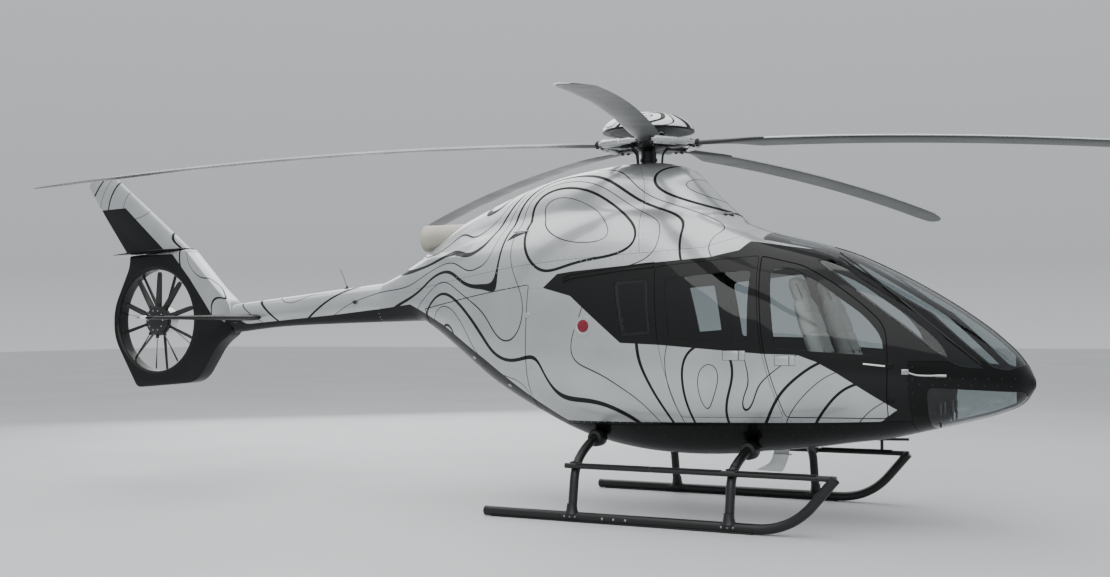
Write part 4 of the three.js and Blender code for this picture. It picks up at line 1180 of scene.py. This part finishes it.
def rotor_head():
    mast = turned([(0, 2.862), (0.072, 2.862), (0.072, 3.235), (0.082, 3.24), (0.082, 3.262), (0.072, 3.268),
                   (0.072, 3.33), (0.1, 3.345), (0.165, 3.367), (0.165, 3.44), (0.15, 3.49), (0, 3.497)],
                  (MAST_X, 0, 0), steps=56)
    pieces = [mast]
    for angle in BLADE_ANGLES:
        turn = rotor_turn(angle)
        arm = block((0.06, -0.059, -0.024), (0.5195, 0.059, 0.024), 0.012)
        waist = block((0.2, -0.075, -0.03), (0.3, 0.075, 0.03), 0.014)
        pin = [(0, 0.036), (0.012, 0.036), (0.016, 0.03), (0.016, -0.03), (0.012, -0.036), (0, -0.036)]
        pins = [turned(pin, (x, y, 0), steps=20) for x, y in ((0.44, -0.034), (0.44, 0.034), (0.49, 0))]
        link = pipe([(0.105, 0.045, -0.3), (0.12, 0.06, -0.06), (0.2, 0.08, -0.01)], 0.011, 12, 0.05)
        arm_group = joined([arm, waist, link] + pins, "arm")
        arm_group.data.transform(turn)
        pieces.append(arm_group)
    head = joined(pieces, "head")
    finish_piece(head, "rotor_head", HEAD_METAL, "main_rotor")
    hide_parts("rotor_hub")

    dampers = []
    for angle in BLADE_ANGLES:
        profile = [(0, -0.235), (0.016, -0.233), (0.02, -0.2), (0.036, -0.19), (0.038, -0.182), (0.038, 0.03),
                   (0.03, 0.04), (0.03, 0.15), (0.02, 0.17), (0.018, 0.228), (0, 0.233)]
        damper = turned(profile, axis="Y", steps=32)
        damper.data.transform(Matrix.Translation((0.43, 0, 0)))
        damper.data.transform(rotor_turn(angle + math.pi / 5))
        dampers.append(damper)
    finish_piece(joined(dampers, "dampers"), "rotor_dampers", DAMPER, "main_rotor")

    base = ROTOR_Z - 10.7
    dome_radius, dome_foot, dome_rise = 430, 122, 176
    profile = [(0, 96), (150, 96), (150, 108), (420, 108), (427, 111), (dome_radius, dome_foot)]
    profile += [(dome_radius * math.cos(a), dome_foot + dome_rise * math.sin(a))
                for a in (math.pi / 2 * k / 16 for k in range(1, 17))]
    profile = [(max(r, 0) / 1000 if r > 0.5 else 0, (z + base) / 1000) for r, z in profile]
    cap = turned(profile, (MAST_X, 0, 0), steps=96)
    finish_piece(cap, "rotor_dome", CAP_PAINT, "main_rotor")
    cap.data.materials.append(GREY_TRIM_AND_DOME_SHADE)
    # The dome's downward faces take the grey plastic: painted shade on its underside
    for face in cap.data.polygons:
        face.material_index = int(face.normal.z < 0)
    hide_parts("rotor_cap")
    rim = turned([(0.36, 3.507), (0.429, 3.507), (0.434, 3.512), (0.434, 3.524), (0.429, 3.526),
                  (0.36, 3.512)], (MAST_X, 0, 0), steps=96)
    finish_piece(rim, "rotor_dome_rim", HEAD_METAL, "main_rotor")


# Landing gear
SKID_Y = 1144
LEG_Y = 1078


def bent_pipe(corners, radius, sides):
    """A pipe along corners of (x, y, z, bend) in millimetres from the mast."""
    path = []
    for i, corner in enumerate(corners):
        here = Vector(row_point(*corner[:3]))
        if len(corner) < 4:
            path.append(here)
            continue
        before, after = (Vector(row_point(*corners[j][:3])) for j in (i - 1, i + 1))
        start = here + (before - here).normalized() * corner[3] / 1000
        end = here + (after - here).normalized() * corner[3] / 1000
        path += [start * (1 - t) ** 2 + here * 2 * t * (1 - t) + end * t * t
                 for t in (k / 12 for k in range(13))]
    return pipe(path, radius, sides)


def landing_gear():
    side = -SKID_Y
    runner = bent_pipe([(-1118, side, 46), (1740, side, 46, 290), (2112, side, 478)], 0.042, 24)
    step = bent_pipe([(2120, side, 480), (900, side, 482, 10), (-300, side, 484)], 0.024, 16)
    shoe = block(row_point(-1050, side - 34, 0), row_point(1430, side + 34, 16), 0.004)
    rear_plug = turned([(0, -0.004), (0.036, -0.004), (0.043, 0.002), (0.043, 0.03), (0, 0.03)],
                       row_point(-1122, side, 46), axis="X", steps=24)
    grips = []
    for x0, x1 in ((-190, 505), (520, 1150), (1280, 1960)):
        grips.append(block(row_point(x0, side - 22, 500), row_point(x1, side + 22, 509), 0.002))
    tread = joined(grips, "tread")
    tread_port = mirrored(tread, "tread_port")
    for piece, name in ((tread, "step_tread_starboard"), (tread_port, "step_tread_port")):
        finish_piece(piece, name, RUBBER_AND_OPENING_SHADE)
    pair(joined([runner, step, shoe, rear_plug], "skid"), "skid", BLACK_STEEL, fixed, "skid")
    for name, x, height in (("rear_crosstube", -240, 700), ("front_crosstube", 1215, 640)):
        bow = bent_pipe([(x, -SKID_Y, 60), (x, -1074, 470, 120), (x, -814, height, 300),
                         (x, 814, height, 300), (x, 1074, 470, 120), (x, SKID_Y, 60)], 0.04, 24)
        pieces = [bow]
        for y in (-SKID_Y, SKID_Y):
            leg = math.copysign(LEG_Y, y)
            foot = turned([(0.03, -0.052), (0.061, -0.046), (0.064, -0.03), (0.05, 0.0), (0.044, 0.045),
                           (0.041, 0.06), (0.03, 0.062)], row_point(x, y * 0.999, 100), steps=32)
            pieces.append(foot)
            for reach in (-52, 52):
                saddle = block(row_point(x + reach - 34, y - 47, 40),
                               row_point(x + reach + 34, y + 47, 62), 0.008)
                pieces.append(saddle)
            bearing = turned([(0.038, -0.07), (0.066, -0.066), (0.078, -0.045), (0.078, 0.045),
                              (0.066, 0.066), (0.038, 0.07)],
                             row_point(x, math.copysign(640, y), height - 12), axis="Y", steps=28)
            pieces.append(bearing)
            collar = turned([(0.038, -0.03), (0.047, -0.026), (0.047, 0.026), (0.038, 0.03)],
                            row_point(x, leg, 484), steps=24)
            pieces.append(collar)
            brace = block(row_point(x - 22, min(y, leg), 470), row_point(x + 22, max(y, leg), 494), 0.006)
            pieces.append(brace)
        bar = joined(pieces, name)
        finish_piece(bar, f"{name}_bow", BLACK_STEEL)
        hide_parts(name)
    frames = [Matrix.Translation(row_point(x, -1187, z)) for x, z in (
        (-292, 50), (-240, 50), (-188, 50), (74, 46), (180, 46), (293, 46), (1163, 50), (1215, 50),
        (1267, 50))]
    bolts = scattered("skid_bolts", screw_head(0.011, 0.006), frames)
    pair(bolts, "skid_bolts", ALUMINIUM)
    handle = joined([pipe([row_point(1866, SKID_Y, 470), row_point(1866, SKID_Y, 604)], 0.016, 12),
                     pipe([row_point(1801, SKID_Y, 604), row_point(2122, SKID_Y, 612)], 0.013, 12)], "handle")
    finish_piece(handle, "port_step_bar", BLACK_STEEL)

    fin_blade = prism(rounded([(1034, 392, 14), (1280, 385, 26), (1345, 520, 60), (1345, 650, 0),
                               (1225, 650, 0), (1180, 470, 60)]), -0.006, 0.006)
    modify(fin_blade, "BEVEL", width=0.004, segments=3, limit_method="ANGLE", angle_limit=math.radians(60))
    base_plate = block(row_point(1205, -26, 536), row_point(1365, 26, 549), 0.004)
    aerial = joined([fin_blade, base_plate], "aerial")
    finish_piece(aerial, "belly_antenna_blade", WHITE)
    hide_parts("belly_antenna")


# Exhaust
def exhaust():
    rear, front = -1.515, -0.7003
    profile = [(0.121, front), (0.135, front), (0.135, rear + 0.03), (0.139, rear + 0.022),
               (0.139, rear + 0.006), (0.133, rear), (0.126, rear + 0.004), (0.121, rear + 0.03),
               (0.121, front)]
    pipe_skin = turned(profile, (0, 0, EXHAUST_Z), axis="X", steps=80)
    plug = turned([(0, -0.98), (0.03, -0.97), (0.075, -0.86), (0.085, -0.762), (0.12, -0.762), (0.12, -0.755),
                   (0, -0.755)], (0, 0, EXHAUST_Z), axis="X", steps=48)
    finish_piece(joined([pipe_skin, plug], "exhaust"), "exhaust_duct", EXHAUST)
    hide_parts("exhaust_pipe")


# Seats: foam under leather, swollen by a cloth simulation
SEAT_Y = 405
BACK_LEAN = 19.3
PAD_VOXEL = 0.008
PAD_PRESSURE = 4
PAD_STEPS = 20
PAD_GROWTH = 0.024
STRAP_WIDTH = 0.045


def stuffed(piece):
    """The cover swells as foam fills it."""
    modify(piece, "REMESH", mode="VOXEL", voxel_size=PAD_VOXEL)
    start = [v.co.copy() for v in piece.data.vertices]
    cloth = piece.modifiers.new("cloth", "CLOTH")
    cloth.settings.use_pressure = True
    cloth.settings.uniform_pressure_force = PAD_PRESSURE
    cloth.settings.effector_weights.gravity = 0
    for step in range(1, PAD_STEPS + 1):
        bpy.context.scene.frame_set(step)
    pick(piece)
    bpy.ops.object.modifier_apply(modifier=cloth.name)
    bpy.context.scene.frame_set(1)
    for vertex, place in zip(piece.data.vertices, start):
        move = vertex.co - place
        if move.length > PAD_GROWTH:
            vertex.co = place + move.normalized() * PAD_GROWTH
    return piece


def sewn(piece, lengthwise, crosswise, across=1, along=0, depth=0.009, width=0.012):
    """Sewn channels pressed into a pad: lines at places across it and along it."""
    centre = sum((v.co for v in piece.data.vertices), Vector()) / len(piece.data.vertices)
    for vertex in piece.data.vertices:
        press = sum(math.exp(-((vertex.co[across] - place) / width) ** 2) for place in lengthwise)
        press += sum(math.exp(-((vertex.co[along] - place) / width) ** 2) for place in crosswise)
        inward = Vector([0.0, 0.0, 0.0])
        axis = 3 - across - along
        inward[axis] = math.copysign(1, centre[axis] - vertex.co[axis])
        vertex.co += inward * depth * min(press, 1.2)
    return piece


def cushion_form():
    pad = block((-0.231, -0.221, 0.012), (0.231, 0.221, 0.104), 0.034, 4)
    return sewn(stuffed(pad), (-0.125, 0.125), (-0.08, 0.11))


def back_form():
    line = [(-0.215, 0.012, 0.05), (0.215, 0.012, 0.05), (0.222, 0.42, 0.1), (0.2, 0.66, 0.09),
            (0.12, 0.705, 0.05), (0.115, 0.9, 0.06), (-0.115, 0.9, 0.06), (-0.12, 0.705, 0.05),
            (-0.2, 0.66, 0.09), (-0.222, 0.42, 0.1)]
    outline = [((x - MAST_X), z) for x, z in rounded([(x * 1000, z * 1000, r * 1000) for x, z, r in line])]
    pad = prism(outline, -0.042, 0.042)
    modify(pad, "BEVEL", width=0.03, segments=4, limit_method="ANGLE", angle_limit=math.radians(60))
    pad.data.transform(Matrix.Rotation(math.pi / 2, 4, "Z"))
    return sewn(stuffed(pad), (-0.12, 0.12), (0.17, 0.36, 0.55, 0.69), across=1, along=2)


def seats():
    cushion, back = cushion_form(), back_form()
    lean = Matrix.Rotation(math.radians(-BACK_LEAN), 4, "Y")
    front_cushion = Matrix.Translation(row_point(2045, -SEAT_Y, 1151))
    front_back = Matrix.Translation(row_point(1846, -SEAT_Y, 1271)) @ lean
    for side, sign in SIDES:
        for form, place, kind in ((cushion, front_cushion, "cushion"), (back, front_back, "back")):
            pad = copy_of(form, "pad")
            pad.data.transform(place)
            if sign > 0:
                pad.data.transform(Matrix.Diagonal((1, -1, 1, 1)))
                pad.data.flip_normals()
            modify(pad, "SUBSURF", levels=1, render_levels=1)
            finish_piece(pad, f"front_seat_{kind}_pad_{side}", LEATHER, angle=80)
            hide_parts(f"front_seat_{kind}_{side}")
    rear_cushion = Matrix.Diagonal((1.04, 1.0, 1.0, 1))
    rear_back = Matrix.Rotation(math.radians(-3), 4, "Y") @ Matrix.Diagonal((1, 1, 0.78, 1))
    for kind, form, shape, x, z, node_name in (
            ("cushion", cushion, rear_cushion, -375, 1151, "rear_seat_cushion"),
            ("back", back, rear_back, -612, 1281, "rear_seat_back")):
        made = []
        for y in (-465, 0, 465):
            pad = copy_of(form, "pad")
            pad.data.transform(Matrix.Translation(row_point(x, y, z)) @ shape)
            finish_piece(pad, f"rear_seat_{kind}_pad_{len(made) + 1}", LEATHER, angle=80)
            made.append(pad)
        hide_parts(node_name)
    drop(cushion, back)


def ribbon(points, across, width, thick=0.0016):
    """A flat strap along a chain of points."""
    half = Vector(across).normalized() * width / 2
    corners = [p for point in points for p in (Vector(point) - half, Vector(point) + half)]
    faces = [(2 * i, 2 * i + 1, 2 * i + 3, 2 * i + 2) for i in range(len(points) - 1)]
    strap = mesh_piece("strap", corners, faces)
    return modify(strap, "SOLIDIFY", thickness=thick, offset=0)


def cabin_fittings():
    hood = block(row_point(2440, -455, 1418), row_point(2610, 455, 1446), 0.013, 4)
    binnacle = block(row_point(2452, -435, 1190), row_point(2474, 435, 1424), 0.008)
    console = block(row_point(2120, -95, 845.3), row_point(2440, 95, 1085), 0.018, 4)
    finish_piece(joined([hood, binnacle, console], "panel"), "instrument_hood", PANEL)
    screens = [block(row_point(2447, y - 120, 1222), row_point(2453, y + 120, 1396), 0.002)
               for y in (-290, 0, 290)]
    screens.append(block(row_point(2180, -70, 1083), row_point(2400, 70, 1088), 0.002))
    finish_piece(joined(screens, "screens"), "instrument_screens", BLACK)
    rods = []
    for y in (-SEAT_Y, SEAT_Y):
        rods.append(pipe([row_point(2380, y, 846), row_point(2385, y, 1060), row_point(2330, y, 1180),
                          row_point(2338, y, 1290)], 0.012, 14, 0.06))
        grip = turned([(0, 0), (0.017, 0.004), (0.021, 0.05), (0.018, 0.1), (0.022, 0.125), (0.016, 0.14),
                       (0, 0.142)], row_point(2338, y, 1270), steps=20)
        rods.append(grip)
        lever = y - math.copysign(275, y)
        rods.append(pipe([row_point(1990, lever, 870), row_point(2060, lever, 930),
                          row_point(2330, lever, 1090)], 0.014, 14, 0.05))
        for reach in (-75, 75):
            foot = y * 0.55 + reach
            rods.append(block(row_point(2735, foot - 38, 935), row_point(2749, foot + 38, 1045), 0.005))
            rods.append(pipe([row_point(2745, foot, 847), row_point(2745, foot, 950)], 0.009, 10))
    finish_piece(joined(rods, "controls"), "flight_controls", BLACK_STEEL)

    straps = []
    for side, sign in SIDES:
        for reach in (-95, 95):
            y = sign * SEAT_Y + reach
            line = ((1562, 2035), (1600, 2045), (1668, 1890), (1766, 1650), (1870, 1400), (1935, 1292),
                    (2020, 1283))
            straps.append(ribbon([row_point(x, y, z) for x, z in line], (0, 1, 0), STRAP_WIDTH))
    line = ((-590, 1945), (-560, 1900), (-540, 1700), (-530, 1500), (-500, 1330), (-470, 1290))
    for y in (-560, -95, 370):
        slanted = [row_point(x, y + 200 * k / 5, z) for k, (x, z) in enumerate(line)]
        straps.append(ribbon(slanted, (0, 1, 0), STRAP_WIDTH))
    finish_piece(joined(straps, "straps"), "seat_straps", WEBBING)


# Fittings on the skin, made to starboard
def plate(x, z, length, height, low, high, bevel, cowling=False):
    """A rounded plate on the skin, from a depth to a height above it."""
    made = block((-length / 2000, -high / 1000, -height / 2000),
                 (length / 2000, -low / 1000, height / 2000), bevel)
    return seated(made, x, z, cowling)


def surface_line(points, out):
    return [on_skin(x, z, out=out).to_translation() for x, z in points]


def fittings():
    # Flush handles: silver leaves over a black plate, painted shade in the gap round them
    for name, x, z, length, bodies in (("sliding_door_handle", 1167, 1444, 200, fixed),
                                       ("front_door_handle", 1604, 1402, 175, cockpit)):
        pair(plate(x, z, length, 84, -5, 0.4, 0.0002), f"{name}_gap", RUBBER_AND_OPENING_SHADE, bodies)
        leaves = [plate(x - length * 0.14, z, length * 0.7 - 5, 77, -5, 1.4, 0.0008),
                  plate(x + length * 0.36, z, length * 0.26, 77, -5, 3.4, 0.0016)]
        pair(joined(leaves, "leaves"), f"{name}_flap", PLAIN_SILVER, bodies)

    hinges = [plate(2434, z, 52, 46, -4, 7, 0.006) for z in (1080, 1360)]
    pair(joined(hinges, "hinges"), "front_door_hinge_covers", BLACK)
    hinges = [plate(-858, z, 50, 44, -4, 6, 0.006) for z in (1330, 1800)]
    pair(joined(hinges, "hinges"), "baggage_door_hinge_covers", PLAIN_SILVER)
    latches = [plate(x, z, 56, 30, -4, 6, 0.005) for x, z in ((-1180, 1145), (-1620, 1400))]
    pair(joined(latches, "latches"), "baggage_door_latches", ALUMINIUM,
         door_bodies("baggage_door"))

    # Fuel filler: a red cap in a silver ring
    filler_place = (-259, 1698)
    cap = turned([(0, 0.009), (0.04, 0.008), (0.053, 0.005), (0.056, 0.0), (0.056, -0.008), (0, -0.008)],
                 steps=48)
    tab = block((-0.04, -0.005, 0.007), (0.04, 0.005, 0.015), 0.002)
    filler = joined([cap, tab], "cap")
    filler.data.transform(Matrix.Rotation(math.pi / 2, 4, "X"))
    finish_piece(seated(filler, *filler_place), "fuel_filler_cap", RED)
    ring = turned([(0.06, 0.002), (0.064, 0.004), (0.09, 0.003), (0.093, -0.001), (0.093, -0.008),
                   (0.06, -0.008), (0.06, 0.002)], steps=48)
    ring.data.transform(Matrix.Rotation(math.pi / 2, 4, "X"))
    finish_piece(seated(ring, *filler_place), "fuel_filler_ring", PLAIN_SILVER)

    pitot = pipe([row_point(2546, -632, 1312), row_point(2634, -635, 1285), row_point(2700, -620, 1282),
                  row_point(2851, -590, 1283)], 0.009, 16, 0.03)
    tip = turned([(0, 0), (0.011, 0), (0.0125, 0.03), (0.0125, 0.085), (0.009, 0.09), (0, 0.09)], steps=20,
                 axis="X")
    tip.data.transform(Matrix.Rotation(0.2, 4, "Z"))
    tip.data.transform(Matrix.Translation(row_point(2775, -608, 1283)))
    boss = plate(2546, 1312, 60, 46, -6, 8, 0.006)
    pair(joined([pitot, tip, boss], "pitot"), "pitot_tube", ALUMINIUM)

    line = [(2231, 1377), (2250, 1376), (2380, 1361), (2397, 1360)]
    grab = pipe(surface_line(line, 0.008), 0.007, 14, 0.01)
    pair(grab, "nose_grab_bar", WHITE)

    arm = pipe(surface_line([(1925, 2288), (2080, 2190), (2475, 1895)], 0.02), 0.007, 12, 0.05)
    blade_line = surface_line([(2330, 2010), (2475, 1895), (2871, 1560), (3090, 1370)], 0.012)
    wiper = joined([arm, pipe(blade_line, 0.006, 10, 0.05)], "wiper")
    pair(wiper, "wiper", BLACK_STEEL)

    # Rail of the sliding door, along the top of the black band
    line = [(-492, 2098), (-402, 2132), (-100, 2166), (280, 2206), (405, 2216)]
    upper_line = [(x, z + 34) for x, z in line]
    rail = joined([pipe(surface_line(line, 0.003), 0.008, 10),
                   pipe(surface_line(upper_line, 0.002), 0.006, 10)], "rail")
    pair(rail, "sliding_door_rail", BLACK)

    # Cooling inlet on the cowling's side and a slot by its front: black plates, painted shade in the openings
    wedge = prism([(-0.09, -0.055), (-0.05, 0.03), (0.1, 0.042)], -0.003, 0.012)
    slot_shade_plate = plate(855, 2688, 118, 26, -8, 2.0, 0.004, True)
    inlet = [seated(wedge, -1130, 2552, True), slot_shade_plate]
    pair(joined(inlet, "inlet"), "cowling_inlet_shade_plates", RUBBER_AND_OPENING_SHADE)
    lips = [plate(-1100, 2594, 190, 9, -8, 8, 0.003, True), plate(855, 2706, 126, 8, -8, 8, 0.003, True)]
    pair(joined(lips, "lips"), "cowling_inlet_lips", PLAIN_SILVER)


def screw_rows():
    below_cowling = [(x, z - 24) for x, z in COWLING_SEAM[1:6]]
    above_cowling = [(x, z + 24) for x, z in COWLING_SEAM[1:6]]
    shoulder = [(-1967, 1871), (-1118, 2047), (-760, 2092)]
    belly_edge = [(-830, 812), (2326, 919)]
    rows = ((below_cowling, 62, False), (above_cowling, 62, True), (shoulder, 62, False),
            (belly_edge, 78, False))
    frames = [on_skin(p.x, p.y, cowling, 0.0002)
              for line, spacing, cowling in rows for p in spaced(line, spacing)]
    for shift in (-18, 18):
        line = [(x + shift, z) for x, z in ((-20, 3120), (110, 3000), (150, 2700), (262, 2400))]
        frames += [on_skin(p.x, p.y, True, 0.0002) for p in spaced(line, 62)]
    pair(scattered("screws", screw_head(), frames), "skin_screws", SCREW_SILVER)
    black_rows = ([(-830, 768), (2326, 866)], [(-700, 700), (2450, 790)], [(2600, 1262), (3330, 1250)],
                  [(2590, 930), (2600, 1350)], [(2560, 1215), (3300, 1190)])
    frames = [on_skin(p.x, p.y, False, 0.0002) for line in black_rows for p in spaced(line, 95)]
    pair(scattered("screws", screw_head(), frames), "belly_screws", BLACK_STEEL)


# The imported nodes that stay
def dressed_nodes():
    kept = {"cabin_floor": CARPET, "rear_bulkhead": LINING_DARKENED_AS_SHADE, "roof_deck": LINING_DARKENED_AS_SHADE, "gearbox_block": ALUMINIUM,
            "engine_block": ALUMINIUM, "rear_seat_frame": GREY_TRIM_AND_DOME_SHADE, "front_seat_frame_starboard": GREY_TRIM_AND_DOME_SHADE,
            "front_seat_frame_port": GREY_TRIM_AND_DOME_SHADE, "instrument_panel": PANEL}
    for name, material in kept.items():
        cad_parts[name].material_slots[0].material = material


tail()
fan()
rotor_blades()
rotor_head()
landing_gear()
exhaust()
seats()
cabin_fittings()
fittings()
screw_rows()
dressed_nodes()


# Camera, floor and light
def camera():
    """The photograph's camera, from where the skids, crosstubes, blade tips and fin lie in it."""
    place = Vector((6.297, -11.524, 1.735))
    yaw, pitch, roll = (math.radians(a) for a in (28.72, 1.43, -0.43))
    ahead = Vector((-math.sin(yaw) * math.cos(pitch), math.cos(yaw) * math.cos(pitch), math.sin(pitch)))
    right = Vector((math.cos(yaw), math.sin(yaw), 0))
    up = right.cross(ahead)
    turned_right = right * math.cos(roll) + up * math.sin(roll)
    turned_up = up * math.cos(roll) - right * math.sin(roll)
    data = bpy.data.cameras.new("camera")
    data.sensor_width = 36.0
    data.lens = 43.67
    data.clip_end = 200
    taker = bpy.data.objects.new("camera", data)
    bpy.context.collection.objects.link(taker)
    turn = Matrix((turned_right, turned_up, -ahead)).transposed().to_4x4()
    taker.matrix_world = Matrix.Translation(place) @ turn
    bpy.context.scene.camera = taker


def studio():
    floor_finish, tree, shader, place = new_material("pale matt studio floor")
    colour, grain = mottled(tree, place, "#c4c6c7", "#cacccd", 0.4)
    feed(tree, shader, Base_Color=colour, Roughness=0.7)
    bpy.ops.mesh.primitive_plane_add(size=140, location=(0, 0, 0))
    floor = bpy.context.object
    floor.name = "studio_floor"
    floor.data.materials.append(floor_finish)
    world = bpy.data.worlds.new("studio")
    world.use_nodes = True
    tree = world.node_tree
    way = node(tree, "ShaderNodeTexCoord").outputs["Generated"]
    height = node(tree, "ShaderNodeSeparateXYZ", {"Vector": way}).outputs["Z"]
    raised = maths(tree, "ADD", maths(tree, "MULTIPLY", height, 0.5), 0.5)
    sky = node(tree, "ShaderNodeValToRGB", {"Fac": raised})
    ramp = sky.color_ramp
    ramp.elements[0].position, ramp.elements[0].color = 0.49, linear("#d2d5d7")
    ramp.elements[1].position, ramp.elements[1].color = 1.0, linear("#f4f6f8")
    for spot, shade in ((0.52, "#bcc0c3"), (0.62, "#c9cdd0")):
        ramp.elements.new(spot).color = linear(shade)
    tree.links.new(sky.outputs["Color"], tree.nodes["Background"].inputs["Color"])
    tree.nodes["Background"].inputs["Strength"].default_value = 1.0
    bpy.context.scene.world = world
    for name, place, target, size, power in (("key", (4, -9, 9), (0, 0, 1.5), 13, 1000),
                                             ("top", (-3, 1, 11), (-1, 0, 2), 13, 900),
                                             ("rim", (-8, 8, 6), (0, 0, 2), 10, 650)):
        light = bpy.data.lights.new(name, "AREA")
        light.size = size
        light.energy = power
        lamp = bpy.data.objects.new(name, light)
        bpy.context.collection.objects.link(lamp)
        lamp.location = place
        lamp.rotation_mode = "QUATERNION"
        lamp.rotation_quaternion = (Vector(target) - Vector(place)).to_track_quat("-Z", "Y")


camera()
studio()
